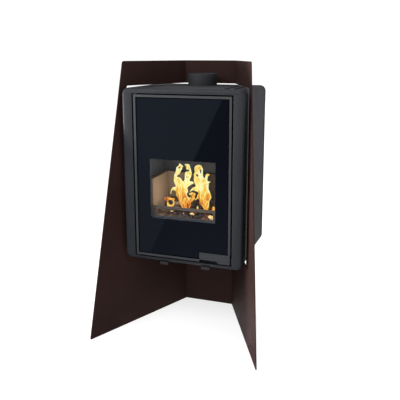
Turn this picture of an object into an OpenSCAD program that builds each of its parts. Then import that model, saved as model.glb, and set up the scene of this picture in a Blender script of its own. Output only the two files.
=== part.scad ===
// Free-standing wood burning stove: a steel insert carried in a folded sheet-steel stand.
// The floor is z = 0, the door faces -Y, and the part is centred on x = 0 and on its own depth.

/* [Stand] */
// Height of the folded stand
stand_h = 1392; // [1340:2:1440]
// Distance between the two front feet, inside the sheet
foot_span = 860; // [840:5:880]
// Depth from the back panel to the tips of the feet
stand_depth = 628; // [610:2:650]
// Width of the back panel between the two folds
back_w = 280; // [270:2:290]
// Thickness of the folded sheet
sheet_t = 5; // [4:0.5:6]
// Wing length left at the top, as a share of its length at the floor
wing_top_share = 0.63; // [0.62:0.01:0.66]

/* [Casing] */
// Width of the casing
body_w = 619; // [615:1:622]
// Height of the casing's underside above the floor
body_bottom = 420; // [416:1:424]
// Height of the casing's top above the floor
body_top = 1266; // [1262:1:1268]
// Radius of the casing's long corners
body_r = 30; // [20:1:34]
// Thickness of the casing sheet
casing_t = 2; // [1.5:0.5:3]
// Depth of the rear cover
cover_d = 43; // [38:1:46]

/* [Front] */
// Distance of the bezel's face in front of the back panel
front_out = 439; // [436:1:442]
// Thickness of the bezel
bezel_t = 15; // [14:0.5:16]
// Height of the bezel's lower edge
bezel_bottom = 397; // [396:0.5:398]
// Height of the bezel's upper edge
bezel_top = 1264; // [1262:0.5:1266]
// Radius of the bezel's rounded front edge
bezel_fillet = 12; // [8:1:13]
// Width of the door opening
opening_w = 512; // [510:1:514]
// Height of the lower edge of the door opening
opening_bottom = 413.5; // [413:0.5:415]
// Height of the upper edge of the door opening
opening_top = 1241; // [1240:0.5:1242]

/* [Door] */
// Gap between the door and the bezel, all round
door_gap = 6.5; // [6:0.5:7]
// Width of the narrow frame strip that shows around the glass
strip_w = 11.5; // [10:0.5:13]
// Thickness of the ceramic glass
glass_t = 4; // [3:0.5:5]
// Length of the handle plate
handle_l = 156; // [150:1:160]

/* [Firebox] */
// Clear width between the side liners
fire_w = 350; // [340:2:360]
// Height of the opening's lower lip
lip_z = 630; // [626:1:632]
// Height of the upper edge of the firebox opening
fire_top_z = 930; // [926:1:934]
// Height of the vermiculite liners' top edge
liner_top_z = 810; // [800:2:820]
// Thickness of the vermiculite boards
liner_t = 26; // [20:1:28]

/* [Flue] */
// Outer diameter of the flue collar
flue_d = 150; // [148:1:152]
// Height of the collar's rim above the floor
flue_top = 1327; // [1320:1:1345]
// Distance of the flue's axis in front of the back panel
flue_out = 119; // [112:1:125]

/* [Hidden] */
$fn = 48;

// colours
stand_brown = [0.17, 0.12, 0.10];
body_grey = [0.27, 0.28, 0.29];
cover_grey = [0.22, 0.23, 0.24];
strip_grey = [0.42, 0.43, 0.44];
glass_black = [0.05, 0.06, 0.08];
steel_dark = [0.20, 0.20, 0.21];
zinc = [0.62, 0.63, 0.64];
vermiculite = [0.66, 0.57, 0.46];
rope_grey = [0.36, 0.35, 0.33];
bark_brown = [0.25, 0.16, 0.10];

// clearances
running = 0.05;
seat = 0.3;
eps = 0.01;
over = 1;

// the part is centred on its own depth: the back panel's inner face lies at panel_y
screw_head_t = 2.5;
cover_proud = 8;
panel_y = (stand_depth - cover_proud - screw_head_t) / 2;

// stand
half_back = back_w / 2;
wing_run = foot_span / 2 - half_back;
wing_l = norm([wing_run, stand_depth]);
wing_a = atan2(stand_depth, wing_run);
wing_top_l = wing_l * wing_top_share;
cut_bottom = bezel_bottom + 2;
cut_top = body_top + 5;
cut_r = 8;
cut_x = body_w / 2 + 3;
cut_l = (cut_x - half_back) / cos(wing_a);
tip_r = 14;
foot_r = 5;
fold_steps = 6;

// rails across the lower edge of the cut-out, and the bolts that hold the casing on them
rail_ys = [-300, -80];
rail_w = 30;
rail_t = 2.5;
rail_overhang = 14;
bolt_inset = 62;
bolt_r = 4;
bolt_hex_r = 7.5;
bolt_head_h = 5.4;
nut_h = 6.4;
bolt_reach = 12;
function wing_x(y) = half_back - wing_run * y / stand_depth;
function rail_half(y) = wing_x(y) + rail_overhang;
function bolt_x(y) = rail_half(y) - bolt_inset;

// door and front, y measured from the back panel's inner face
face_y = -front_out;
bezel_back_y = face_y + bezel_t;
door_w = opening_w - 2 * door_gap - 2;
half_door = door_w / 2;
door_bottom = opening_bottom + door_gap;
door_top = opening_top - door_gap;
frame_d = 14.5;
frame_t = 3;
lip_t = 2.5;
frame_seat = 0.5;
glass_y = face_y + lip_t + frame_seat;
gasket_t = 1.4;
gasket_w = 11;
gasket_y = glass_y + glass_t;
touch = 0.1;
panel_front_y = gasket_y + gasket_t + touch;
panel_t = 2;
panel_back_y = panel_front_y + panel_t;
pane_w = door_w - 2 * frame_t - 2 * frame_seat;
pane_bottom = door_bottom + frame_t + frame_seat;
pane_top = door_top - frame_t - frame_seat;

// handle and latch
handle_x = half_door - 1;
handle_left = handle_x - handle_l;
handle_bottom = door_bottom;
handle_h = 48.5;
handle_top = handle_bottom + handle_h;
handle_step = 11.5;
handle_step_x = handle_x - 57;
handle_slant = 11;
handle_t = 4;
handle_y = face_y - 2;
handle_gap = 0.5;
pivot_r = 3;
pivot_x = half_door - 10.5;
pivot_y = face_y + 8;
hub_r = 4.8;
hub_h = 8;
hub_gap = 2;
hook_z = handle_bottom + 18;
hook_h = 10;
hook_reach = 14.3;
hook_front = 2.5;
hook_rear = 2;
hook_slot = 4;
pocket_w = 12;
pocket_d = 11;
recess_d = 14;
notch_x = handle_left + 5;
notch_top = handle_top - 5;
tray_back_y = face_y + 15;
tray_front_y = face_y + 3.8;
tray_t = 2;
tray_end = pivot_x + 5;
strike_gap = 0.5;
strike_y = face_y + 0.5;
strike_t = 4.1;
strike_drop = 6;
strike_h = 24;

// door hinge
hinge_x = -(half_door - 12.5);
hinge_y = face_y + 10.5;
pin_r = 3;
pin_grip = 20;
block_h = 18;
block_wall = 8;
block_d = 20;
lug_r = 5;
lug_gap = 1.3;
lug_t = door_gap - lug_gap;

// back panel, clips and seal of the door
view_w = fire_w + 4;
view_bottom = lip_z - 14;
rope_in = 12;
rope_w = 14;
clip_n = 5;
clip_l = 15;
clip_h = 20;
clip_t = 4;
clip_margin = 45;
clip_first_z = notch_top + clip_margin - 5;
clip_step = (pane_top - clip_margin - 5 - clip_first_z) / (clip_n - 1);
clip_zs = [for (i = [0:clip_n - 1]) clip_first_z + i * clip_step];
clip_y = panel_back_y + touch;
clip_hole_x = half_door - frame_t - 8;
clip_screw_r = 1.5;
clip_head_r = 3;
clip_head_t = 2;

// firebox, all behind the door
front_plate_y = panel_back_y + 14.8;
front_plate_t = 5;
front_plate_half = 232;
front_plate_z = 500;
shell_y = front_plate_y + front_plate_t;
shell_t = 4;
shell_half = fire_w / 2 + liner_t + 2 + shell_t;
shell_back = -154;
shell_bottom = 585;
shell_top = 962;
shell_in = shell_back - shell_t;
floor_z = shell_bottom + shell_t;
board_gap = 0.3;
liner_z = floor_z + liner_t;
liner_front = shell_y + 24;
liner_back_y = shell_in - liner_t - board_gap;
floor_front = shell_y + 14;
throat_x = 110;
throat_d = 60;
grate_half = 118;
grate_reach = 68;
grate_y = -290;
grate_h = 16;
grate_slots = 9;
grate_pitch = 22;
grate_slot_w = 10;
grate_slot_l = 52;
hood_back = -38;
hood_top = 1118;
flue_y = -flue_out;
flue_t = 3;
flue_step = 1.5;
flue_step_z = body_top + 4;
flange_w = 5;
flange_t = 4;
trim_w = 9;
trim_t = 2;
baffle_z = shell_top - 30;
baffle_t = 22;
baffle_front = shell_y + 60;
rest_w = 16;
rest_t = 3;
wash_y = shell_y + 16;
wash_t = 2;
wash_half = fire_w / 2 + 10;
wash_top = baffle_z + 20;
retainer_y = shell_y + 7;
retainer_t = 6;
retainer_half = fire_w / 2 - 2;
retainer_z = 662;
retainer_h = 15;
retainer_end = 25;

// ash box and pan
ash_open_half = 150;
ash_open_z = [512, 577];
ash_y0 = shell_y + 1;
ash_y1 = -190;
ash_box_half = 170;
ash_box_back = ash_y1 + 20;
ash_box_bottom = 500;
ash_box_t = 3;
pan_half = ash_open_half - 3;
pan_z = [515, 572];
pan_t = 2;
pull_half = 40;
pull_z = [548, 566];
pull_t = 3;
duct_half = 60;
duct_y = [ash_y1 - 60, ash_y1 - 20];

// air control
slide_w = 42;
slide_t = 3;
tab_h = 15;
tab_r = 3;
slide_z = bezel_bottom - slide_t - 1;
slide_front_y = face_y + 2;
slide_run = 38;
primary_x = -97;
secondary_x = 122;
valve_y = face_y + 44;
valve_t = 2;
valve_d = 16;
valve_gap = 0.5;
port_half = 14;
port_d = 5;
guide_w = 9;
guide_off = 10;
guide_wall = 6;
guide_sill = 3.5;
guide_play = 2;
air_bottom = body_bottom + casing_t + 1;
air_top = 499;
air_half = 200;
air_back = -170;
air_t = 3;

// casing seams, slots and rear cover
seam_in = body_r + 8;
seam_x = body_w / 2 - seam_in;
relief_y = hinge_y + 18;
louvre_xs = [200, 246];
louvre_w = 14;
louvre_y = [-392, -120];
flue_hole = 4;
cover_front_y = cover_proud - cover_d + 0.5;
cover_f = 14;
cover_wall = 3;
cover_rim = 18;
screw_r = 2;
screw_head_r = 5;
screw_l = 12;
screw_inset = 26;
screw_levels = [0.05, 0.5, 0.95];
socket_depth = 1.5;
screw_pts = [for (x = [-1, 0, 1], level = screw_levels)
    if (x != 0 || level != screw_levels[1])
        [x * (body_w / 2 - screw_inset), body_bottom + level * (body_top - body_bottom)]];

// fire load
log_r = 27;
log_lift = 15;
log_split = 0.55;
log_front_y = -302;
log_pitch = 74;
log_split_a = 35;
ember_h = 16;
ember_edge = 2;
ember_half = fire_w / 2 - 45;
ember_slope = 22;

// ---------- shared shapes ----------

module place() translate([0, panel_y, 0]) children();

// rectangle with exact round corners, centred on x, from y = bottom to y = top
module round_rect(w, bottom, top, r) {
    translate([-w / 2 + r, bottom]) square([w - 2 * r, top - bottom]);
    translate([-w / 2, bottom + r]) square([w, top - bottom - 2 * r]);
    for (x = [-1, 1], z = [bottom + r, top - r])
        translate([x * (w / 2 - r), z]) circle(r);
}

// extrudes an X-Z outline from y0 to y1
module slab(y0, y1) translate([0, y1, 0]) rotate([90, 0, 0]) linear_extrude(y1 - y0) children();

module block(x0, x1, y0, y1, z0, z1) translate([x0, y0, z0]) cube([x1 - x0, y1 - y0, z1 - z0]);

// frame of constant border in the X-Z plane
module ring(w, z0, z1, border, y0, y1)
    slab(y0, y1) difference() {
        translate([-w / 2, z0]) square([w, z1 - z0]);
        translate([-w / 2 + border, z0 + border])
            square([w - 2 * border, z1 - z0 - 2 * border]);
    }

// section of a plate edge: square at the back, rounded at the front
module edge_section(r, t, f) intersection() {
    square([r, t]);
    union() {
        square([r - f, t]);
        square([r, t - f]);
        translate([r - f, t - f]) circle(f);
    }
}

// plate with round corners r and a rounded rim f on its +z face, centred on the origin
module soft_plate(w, h, t, r, f) {
    cube_w = w - 2 * r;
    cube_h = h - 2 * r;
    translate([-cube_w / 2, -cube_h / 2, 0]) cube([cube_w, cube_h, t]);
    for (side = [0, 1]) {
        run = side == 0 ? cube_h : cube_w;
        out = side == 0 ? cube_w / 2 : cube_h / 2;
        for (turn = [0, 180])
            rotate([0, 0, turn + 90 * side]) translate([out, run / 2, 0])
                rotate([90, 0, 0]) linear_extrude(run) edge_section(r, t, f);
    }
    for (c = [[1, 1, 0], [-1, 1, 90], [-1, -1, 180], [1, -1, 270]])
        translate([c[0] * cube_w / 2, c[1] * cube_h / 2, 0]) rotate([0, 0, c[2]])
            rotate_extrude(angle = 90) edge_section(r, t, f);
}

// the same plate standing up: its back at y = back_y, its rounded rim towards -Y
module front_plate(w, z0, z1, t, r, f, back_y)
    translate([0, back_y, (z0 + z1) / 2]) rotate([90, 0, 0]) soft_plate(w, z1 - z0, t, r, f);

module y_cyl(x, z, r, y0, y1) translate([x, y1, z]) rotate([90, 0, 0]) cylinder(h = y1 - y0, r = r);

module z_cyl(x, y, r, z0, z1) translate([x, y, z0]) cylinder(h = z1 - z0, r = r);

// mirrors its children to the -X side when side is negative
module on_side(side) {
    if (side > 0) children();
    else mirror([1, 0, 0]) children();
}

// a cylinder along Z that overshoots both faces, for cutting
module z_hole(x, y, r, z0, z1) z_cyl(x, y, r, z0 - over, z1 + over);

// ---------- stand ----------

// the right half of the folded sheet seen from above: round the outside of the fold, out along
// the wing and back to the inside of the fold
fold = [half_back, 0];
wing_dir = [cos(wing_a), -sin(wing_a)];
wing_out = [sin(wing_a), cos(wing_a)];
half_plan = concat(
    [for (i = [0:fold_steps]) let (a = 90 - i * wing_a / fold_steps)
        fold + sheet_t * [cos(a), sin(a)]],
    [fold + wing_l * wing_dir + sheet_t * wing_out, fold + wing_l * wing_dir, fold]);

// both halves, before the edges are cut
module stand_plan() polygon(concat(half_plan,
    [for (i = [len(half_plan) - 1:-1:0]) [-half_plan[i][0], half_plan[i][1]]]));

// outline of one wing laid flat: the fold on the left, the sloping front edge on the right
module wing_outline() hull() {
    square([1, stand_h]);
    translate([wing_l - foot_r, foot_r]) circle(foot_r);
    translate([wing_top_l - tip_r, stand_h - tip_r]) circle(tip_r);
    square([wing_l - foot_r, 1]);
}

// what is cut away from a wing laid flat: beyond its outline, and the notch for the casing
module wing_waste() {
    difference() {
        translate([wing_top_l / 2, -over]) square([wing_l, stand_h + 2 * over]);
        wing_outline();
    }
    translate([0, cut_bottom]) square([cut_l - cut_r, cut_top - cut_bottom]);
    translate([0, cut_bottom + cut_r]) square([cut_l, cut_top - cut_bottom - 2 * cut_r]);
    for (z = [cut_bottom + cut_r, cut_top - cut_r])
        translate([cut_l - cut_r, z]) circle(cut_r);
}

module folded_stand() color(stand_brown) place() difference() {
    linear_extrude(stand_h) stand_plan();
    block(-half_back - sheet_t - over, half_back + sheet_t + over, -sheet_t, sheet_t + over,
        cut_bottom, cut_top);
    for (side = [1, -1]) on_side(side) translate([half_back, 0, 0]) rotate([0, 0, -wing_a])
        rotate([90, 0, 0]) translate([0, 0, -sheet_t - over])
            linear_extrude(sheet_t + 2 * over) wing_waste();
}

module support_rails() color(steel_dark) place() for (y = rail_ys) difference() {
    block(-rail_half(y), rail_half(y), y - rail_w / 2, y + rail_w / 2, cut_bottom, body_bottom);
    block(-rail_half(y) - over, rail_half(y) + over, y - rail_w / 2 + rail_t,
        y + rail_w / 2 - rail_t, cut_bottom + rail_t, body_bottom - rail_t);
    for (x = [-1, 1]) z_hole(x * bolt_x(y), y, bolt_r + running, cut_bottom, body_bottom);
}

module rail_bolts() color(zinc) place() for (y = rail_ys, x = [-1, 1])
    translate([x * bolt_x(y), y, 0]) {
        z_cyl(0, 0, bolt_r, cut_bottom - over, body_bottom + bolt_reach);
        translate([0, 0, cut_bottom - bolt_head_h - touch])
            cylinder(h = bolt_head_h, r = bolt_hex_r, $fn = 6);
        translate([0, 0, body_bottom + casing_t + touch])
            cylinder(h = nut_h, r = bolt_hex_r, $fn = 6);
    }

// ---------- casing ----------

// one of the two flat sheets between the side sheets
module casing_sheet(z0) block(-seam_x + board_gap, seam_x - board_gap, bezel_back_y + board_gap,
    cover_proud - cover_d, z0, z0 + casing_t);

// a side sheet, bent round at its top and bottom and running in as far as the seams
module side_sheet(side) on_side(side)
    slab(bezel_back_y + board_gap, cover_proud - cover_d) intersection() {
        difference() {
            round_rect(body_w, body_bottom, body_top, body_r);
            round_rect(body_w - 2 * casing_t, body_bottom + casing_t, body_top - casing_t,
                body_r - casing_t);
        }
        translate([seam_x, body_bottom - over])
            square([seam_in + over, body_top - body_bottom + 2 * over]);
    }

module casing_left() color(body_grey) place() side_sheet(-1);
module casing_right() color(body_grey) place() side_sheet(1);

module casing_top() color(body_grey) place() difference() {
    casing_sheet(body_top - casing_t);
    z_hole(0, flue_y, flue_d / 2 + flue_hole, body_top - casing_t, body_top);
    for (side = [-1, 1], x = louvre_xs) {
        block(side * x - louvre_w / 2, side * x + louvre_w / 2, louvre_y[0] + louvre_w / 2,
            louvre_y[1] - louvre_w / 2, body_top - casing_t - over, body_top + over);
        for (y = [louvre_y[0] + louvre_w / 2, louvre_y[1] - louvre_w / 2])
            z_hole(side * x, y, louvre_w / 2, body_top - casing_t, body_top);
    }
}

// its front edge is cut back where the door's hinge side turns
module casing_bottom() color(body_grey) place() difference() {
    casing_sheet(body_bottom);
    block(-opening_w / 2, opening_w / 2, bezel_back_y - over, relief_y, body_bottom - over,
        body_bottom + casing_t + over);
    for (x = [primary_x, secondary_x])
        block(x - port_half, x + port_half, valve_y - port_d, valve_y + port_d,
            body_bottom - over, body_bottom + casing_t + over);
    for (y = rail_ys, x = [-1, 1])
        z_hole(x * bolt_x(y), y, bolt_r + running, body_bottom, body_bottom + casing_t);
}

module rear_cover() color(cover_grey) place() difference() {
    translate([0, cover_front_y, (body_bottom + body_top) / 2]) rotate([-90, 0, 0])
        soft_plate(body_w, body_top - body_bottom, cover_proud - cover_front_y, body_r, cover_f);
    slab(cover_front_y - over, cover_proud - cover_wall)
        round_rect(body_w - 2 * cover_f, body_bottom + cover_f, body_top - cover_f,
            body_r - cover_f);
    slab(cover_front_y - over, cover_front_y + cover_rim)
        round_rect(body_w - 2 * casing_t, body_bottom + casing_t, body_top - casing_t,
            body_r - casing_t);
    for (p = screw_pts)
        y_cyl(p[0], p[1], screw_r + running, cover_front_y, cover_proud + over);
}

module cover_screws() color(zinc) place() for (p = screw_pts) {
    y_cyl(p[0], p[1], screw_r, cover_proud - screw_l, cover_proud + touch);
    difference() {
        y_cyl(p[0], p[1], screw_head_r, cover_proud + touch / 2, cover_proud + screw_head_t);
        translate([p[0], cover_proud + screw_head_t + eps, p[1]]) rotate([90, 0, 0])
            cylinder(h = socket_depth, r = screw_r, $fn = 6);
    }
}

module front_bezel() color(body_grey) place() difference() {
    front_plate(body_w, bezel_bottom, bezel_top, bezel_t, body_r, bezel_fillet, bezel_back_y);
    block(-opening_w / 2, opening_w / 2, face_y - over, bezel_back_y + over,
        opening_bottom, opening_top);
}

// ---------- firebox ----------

module firebox_front() color(steel_dark) place() difference() {
    block(-front_plate_half, front_plate_half, front_plate_y, shell_y, front_plate_z,
        shell_top + 2 * shell_t);
    block(-fire_w / 2, fire_w / 2, front_plate_y - over, shell_y + over, lip_z, fire_top_z);
    block(-ash_open_half, ash_open_half, front_plate_y - over, shell_y + over,
        ash_open_z[0], ash_open_z[1]);
}

module firebox_shell() color(steel_dark) place() difference() {
    block(-shell_half, shell_half, shell_y, shell_back, shell_bottom, shell_top);
    block(-shell_half + shell_t, shell_half - shell_t, shell_y - over, shell_in,
        floor_z, shell_top + over);
    block(-throat_x, throat_x, grate_y - throat_d, grate_y + throat_d,
        shell_bottom - over, floor_z + over);
}

module smoke_hood() color(steel_dark) place() difference() {
    block(-shell_half, shell_half, shell_y, hood_back, shell_top, hood_top);
    block(-shell_half + shell_t, shell_half - shell_t, shell_y + shell_t, hood_back - shell_t,
        shell_top + shell_t, hood_top - shell_t);
    block(-shell_half + shell_t, shell_half - shell_t, shell_y + shell_t, shell_in,
        shell_top - over, shell_top + shell_t + over);
    z_hole(0, flue_y, flue_d / 2 - flue_t, hood_top - shell_t, hood_top);
}

module flue_collar() color(body_grey) place() difference() {
    union() {
        z_cyl(0, flue_y, flue_d / 2, hood_top, flue_top);
        z_cyl(0, flue_y, flue_d / 2 + flue_step, hood_top, flue_step_z);
        z_cyl(0, flue_y, flue_d / 2 + flange_w, hood_top, hood_top + flange_t);
    }
    z_hole(0, flue_y, flue_d / 2 - flue_t, hood_top, flue_top);
}

module flue_trim_ring() color(steel_dark) place() difference() {
    z_cyl(0, flue_y, flue_d / 2 + trim_w, body_top, body_top + trim_t);
    z_hole(0, flue_y, flue_d / 2 + flue_step + running, body_top, body_top + trim_t);
}

module side_liner(side) on_side(side)
    block(fire_w / 2, fire_w / 2 + liner_t, liner_front, shell_in - board_gap,
        floor_z + board_gap, liner_top_z);

module liner_left() color(vermiculite) place() side_liner(-1);
module liner_right() color(vermiculite) place() side_liner(1);

module liner_back() color(vermiculite) place()
    block(-fire_w / 2 + board_gap, fire_w / 2 - board_gap, liner_back_y, shell_in - board_gap,
        floor_z + board_gap, liner_top_z);

module liner_floor() color(vermiculite) place() difference() {
    block(-fire_w / 2 + board_gap, fire_w / 2 - board_gap, floor_front,
        liner_back_y - board_gap, floor_z + board_gap, liner_z);
    block(-grate_half - over, grate_half + over, grate_y - grate_reach - over,
        grate_y + grate_reach + over, floor_z - over, liner_z + over);
}

module grate() color(steel_dark) place() difference() {
    block(-grate_half, grate_half, grate_y - grate_reach, grate_y + grate_reach,
        floor_z + board_gap, floor_z + grate_h);
    for (i = [0:grate_slots - 1]) {
        x = (i - (grate_slots - 1) / 2) * grate_pitch;
        block(x - grate_slot_w / 2, x + grate_slot_w / 2, grate_y - grate_slot_l,
            grate_y + grate_slot_l, floor_z - over, floor_z + grate_h + over);
    }
}

module baffle_plate() color(vermiculite) place()
    block(-shell_half + shell_t + 1, shell_half - shell_t - 1, baffle_front,
        shell_in - board_gap, baffle_z, baffle_z + baffle_t);

module baffle_rests() color(steel_dark) place() for (side = [-1, 1]) on_side(side)
    block(shell_half - shell_t - rest_w, shell_half - shell_t, baffle_front,
        shell_in - board_gap, baffle_z - rest_t - touch, baffle_z - touch);

module airwash_deflector() color(steel_dark) place() {
    block(-wash_half, wash_half, wash_y, wash_y + wash_t, fire_top_z, wash_top);
    block(-wash_half, wash_half, shell_y, wash_y + wash_t, wash_top - wash_t, wash_top);
}

module log_retainer() color(steel_dark) place() {
    block(-retainer_half, retainer_half, retainer_y, retainer_y + retainer_t,
        retainer_z, retainer_z + retainer_h);
    for (side = [-1, 1]) on_side(side) block(retainer_half - retainer_end, retainer_half,
        retainer_y, retainer_y + retainer_t, floor_z, retainer_z + over);
}

module ash_pan() color(zinc) place() {
    difference() {
        block(-pan_half, pan_half, ash_y0, ash_y1, pan_z[0], pan_z[1]);
        block(-pan_half + pan_t, pan_half - pan_t, ash_y0 + pan_t, ash_y1 - pan_t,
            pan_z[0] + pan_t, pan_z[1] + over);
    }
    difference() {
        block(-pull_half, pull_half, front_plate_y - pan_t, ash_y0 + eps, pull_z[0], pull_z[1]);
        block(-pull_half + pull_t, pull_half - pull_t, front_plate_y, ash_y0 - pan_t,
            pull_z[0] - over, pull_z[1] - pull_t);
    }
}

module ash_box() color(steel_dark) place() difference() {
    block(-ash_box_half, ash_box_half, shell_y, ash_box_back, ash_box_bottom, shell_bottom);
    block(-ash_box_half + ash_box_t, ash_box_half - ash_box_t, shell_y - over,
        ash_box_back - ash_box_t, ash_box_bottom + ash_box_t, shell_bottom - ash_box_t);
    block(-throat_x, throat_x, grate_y - throat_d, grate_y + throat_d,
        shell_bottom - ash_box_t - over, shell_bottom + over);
    block(-duct_half, duct_half, duct_y[0], duct_y[1], ash_box_bottom - over,
        ash_box_bottom + ash_box_t + over);
}

module air_box() color(steel_dark) place() difference() {
    block(-air_half, air_half, shell_y, air_back, air_bottom, air_top);
    block(-air_half + air_t, air_half - air_t, shell_y + air_t, air_back - air_t,
        air_bottom + air_t, air_top - air_t);
    for (x = [primary_x, secondary_x])
        block(x - port_half, x + port_half, valve_y - port_d, valve_y + port_d,
            air_bottom - over, air_bottom + air_t + over);
    block(-duct_half, duct_half, duct_y[0], duct_y[1], air_top - air_t - over, air_top + over);
}

// ---------- air control ----------

// two slotted blocks that carry one slide; the slide starts at one end of the slot
module guides(x0, x1) for (y = [valve_y - guide_off - guide_w, valve_y + guide_off])
    difference() {
        block(x0 - guide_wall, x1 + guide_wall, y, y + guide_w, slide_z - guide_sill,
            body_bottom);
        block(x0, x1, y - over, y + guide_w + over, slide_z - seat, slide_z + slide_t + seat);
    }

module air_slide_guides() color(steel_dark) place() {
    reach = slide_w / 2 + guide_play;
    guides(primary_x - reach, primary_x + reach + slide_run);
    guides(secondary_x - reach - slide_run, secondary_x + reach);
}

// flat blade, a rounded finger tab under the bezel, and the valve plate below the air port
module air_slide(x) translate([x, 0, 0]) {
    block(-slide_w / 2, slide_w / 2, slide_front_y, valve_y + guide_off + guide_w,
        slide_z, slide_z + slide_t);
    slab(slide_front_y - slide_t, slide_front_y)
        round_rect(slide_w, slide_z + slide_t - tab_h, slide_z + slide_t, tab_r);
    block(-slide_w / 2, slide_w / 2, valve_y - valve_t / 2, valve_y + valve_t / 2, slide_z,
        body_bottom - slide_t);
    block(-slide_w / 2, slide_w / 2, valve_y - valve_d / 2, valve_y + valve_d / 2,
        body_bottom - valve_gap - slide_t, body_bottom - valve_gap);
}

module primary_air_slide() color(strip_grey) place() air_slide(primary_x);
module secondary_air_slide() color(strip_grey) place() air_slide(secondary_x);

// ---------- hinge and latch parts on the bezel ----------

module hinge_lugs() color(steel_dark) place()
    for (z = [door_top + lug_gap, opening_bottom]) difference() {
        union() {
            block(-opening_w / 2, hinge_x, hinge_y - lug_r, hinge_y + lug_r, z, z + lug_t);
            z_cyl(hinge_x, hinge_y, lug_r, z, z + lug_t);
        }
        z_hole(hinge_x, hinge_y, pin_r + running, z, z + lug_t);
    }

module latch_strike() color(steel_dark) place()
    block(pivot_x + hook_reach + strike_gap, opening_w / 2, strike_y, strike_y + strike_t,
        hook_z - strike_drop, hook_z - strike_drop + strike_h);

// ---------- fire ----------

// split log: round bark side with a flat split face
module split_log(l, r) rotate([0, 90, 0]) difference() {
    translate([0, 0, -l / 2]) cylinder(h = l, r = r, $fn = 40);
    rotate([0, 0, log_split_a]) translate([r * log_split, -r, -l / 2 - over])
        cube([r, 2 * r, l + 2 * over]);
}

module split_logs() color(bark_brown) place() translate([0, 0, liner_z + log_lift + log_r]) {
    translate([0, log_front_y, 0]) rotate([0, 0, 4]) split_log(270, log_r);
    translate([0, log_front_y + log_pitch, 0]) rotate([0, 0, -3]) split_log(280, log_r);
    translate([8, log_front_y + log_pitch / 2, 1.85 * log_r]) rotate([0, 0, 62])
        split_log(150, log_r * 0.8);
}

module ember_bed() color([0.55, 0.20, 0.06]) place() hull() {
    block(-ember_half, ember_half, shell_y + 20, liner_back_y - 4,
        liner_z + board_gap, liner_z + ember_edge);
    block(-ember_half + ember_slope, ember_half - ember_slope, shell_y + 2 * ember_slope,
        liner_back_y - ember_slope, liner_z + board_gap, liner_z + ember_h);
}

// ---------- door ----------

// removes the corner that the handle plate covers, and what its right end swings through
module handle_notch(y0, y1) {
    block(notch_x, door_w, y0, y1, door_bottom - over, notch_top);
    block(pivot_x - pivot_r, door_w, y0, y1, door_bottom - over, handle_top + handle_gap);
}

// clears the two hinge blocks
module hinge_notch(y0, y1) for (z = [door_bottom - over, door_top - frame_t - block_h - over])
    block(-half_door - over, hinge_x + block_wall + over, y0, y1, z,
        z + frame_t + block_h + 2 * over);

module door_frame() color(strip_grey) place() difference() {
    union() {
        ring(door_w, door_bottom, door_top, frame_t, face_y, face_y + frame_d);
        ring(door_w, door_bottom, door_top, strip_w, face_y, face_y + lip_t);
    }
    block(handle_left - handle_gap, door_w, face_y - over, face_y + lip_t + handle_gap,
        door_bottom - over, handle_top + handle_gap);
    block(handle_left - handle_gap, handle_step_x, face_y - over, face_y + recess_d,
        door_bottom - over, door_bottom + handle_step + handle_gap);
    block(half_door - pocket_w, door_w, face_y - over, face_y + pocket_d, door_bottom - over,
        handle_top + handle_gap);
    block(half_door - pocket_w, door_w, face_y - over, face_y + frame_d + over,
        hook_z - hook_slot, hook_z + hook_h + hook_slot);
    for (z = [door_bottom, door_top - frame_t])
        z_hole(hinge_x, hinge_y, pin_r + running, z, z + frame_t);
}

module door_glass() color(glass_black) place() difference() {
    block(-pane_w / 2, pane_w / 2, glass_y, glass_y + glass_t, pane_bottom, pane_top);
    handle_notch(glass_y - over, glass_y + glass_t + over);
}

module glass_gasket() color(rope_grey) place() difference() {
    ring(pane_w, pane_bottom, pane_top, gasket_w, gasket_y, gasket_y + gasket_t);
    handle_notch(gasket_y - over, gasket_y + gasket_t + over);
    hinge_notch(gasket_y - over, gasket_y + gasket_t + over);
}

module door_back_panel() color(steel_dark) place() difference() {
    block(-pane_w / 2, pane_w / 2, panel_front_y, panel_back_y, pane_bottom, pane_top);
    block(-view_w / 2, view_w / 2, panel_front_y - over, panel_back_y + over,
        view_bottom, fire_top_z);
    handle_notch(panel_front_y - over, panel_back_y + over);
    hinge_notch(panel_front_y - over, panel_back_y + over);
}

module panel_clips() color(zinc) place() for (side = [-1, 1], z = clip_zs) on_side(side)
    difference() {
        block(half_door - frame_t - clip_l, half_door - frame_t - touch, clip_y,
            clip_y + clip_t, z - clip_h / 2, z + clip_h / 2);
        y_cyl(clip_hole_x, z, clip_screw_r + running, clip_y - over, clip_y + clip_t + over);
    }

module clip_screws() color(zinc) place() for (side = [-1, 1], z = clip_zs) {
    y_cyl(side * clip_hole_x, z, clip_screw_r, clip_y + touch, clip_y + clip_t + touch);
    y_cyl(side * clip_hole_x, z, clip_head_r, clip_y + clip_t + touch / 2,
        clip_y + clip_t + clip_head_t);
}

module door_seal_rope() color(rope_grey) place()
    ring(view_w + 2 * (rope_in + rope_w), view_bottom - rope_in - rope_w,
        fire_top_z + rope_in + rope_w, rope_w, panel_back_y + touch, front_plate_y - seat);

module handle_tray() color(steel_dark) place() difference() {
    z0 = door_bottom + frame_t + touch;
    z1 = notch_top - seat;
    union() {
        block(notch_x + seat, half_door - frame_t - touch, tray_back_y, tray_back_y + tray_t,
            z0, z1);
        block(notch_x + seat, notch_x + seat + tray_t, tray_front_y, tray_back_y + eps, z0, z1);
        block(notch_x + seat, tray_end, tray_front_y, tray_back_y + eps, z1 - tray_t, z1);
        block(handle_step_x + 4, tray_end, tray_front_y, tray_back_y + eps, z0, z0 + tray_t);
    }
    z_hole(pivot_x, pivot_y, pivot_r + running, z0, z1);
}

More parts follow.
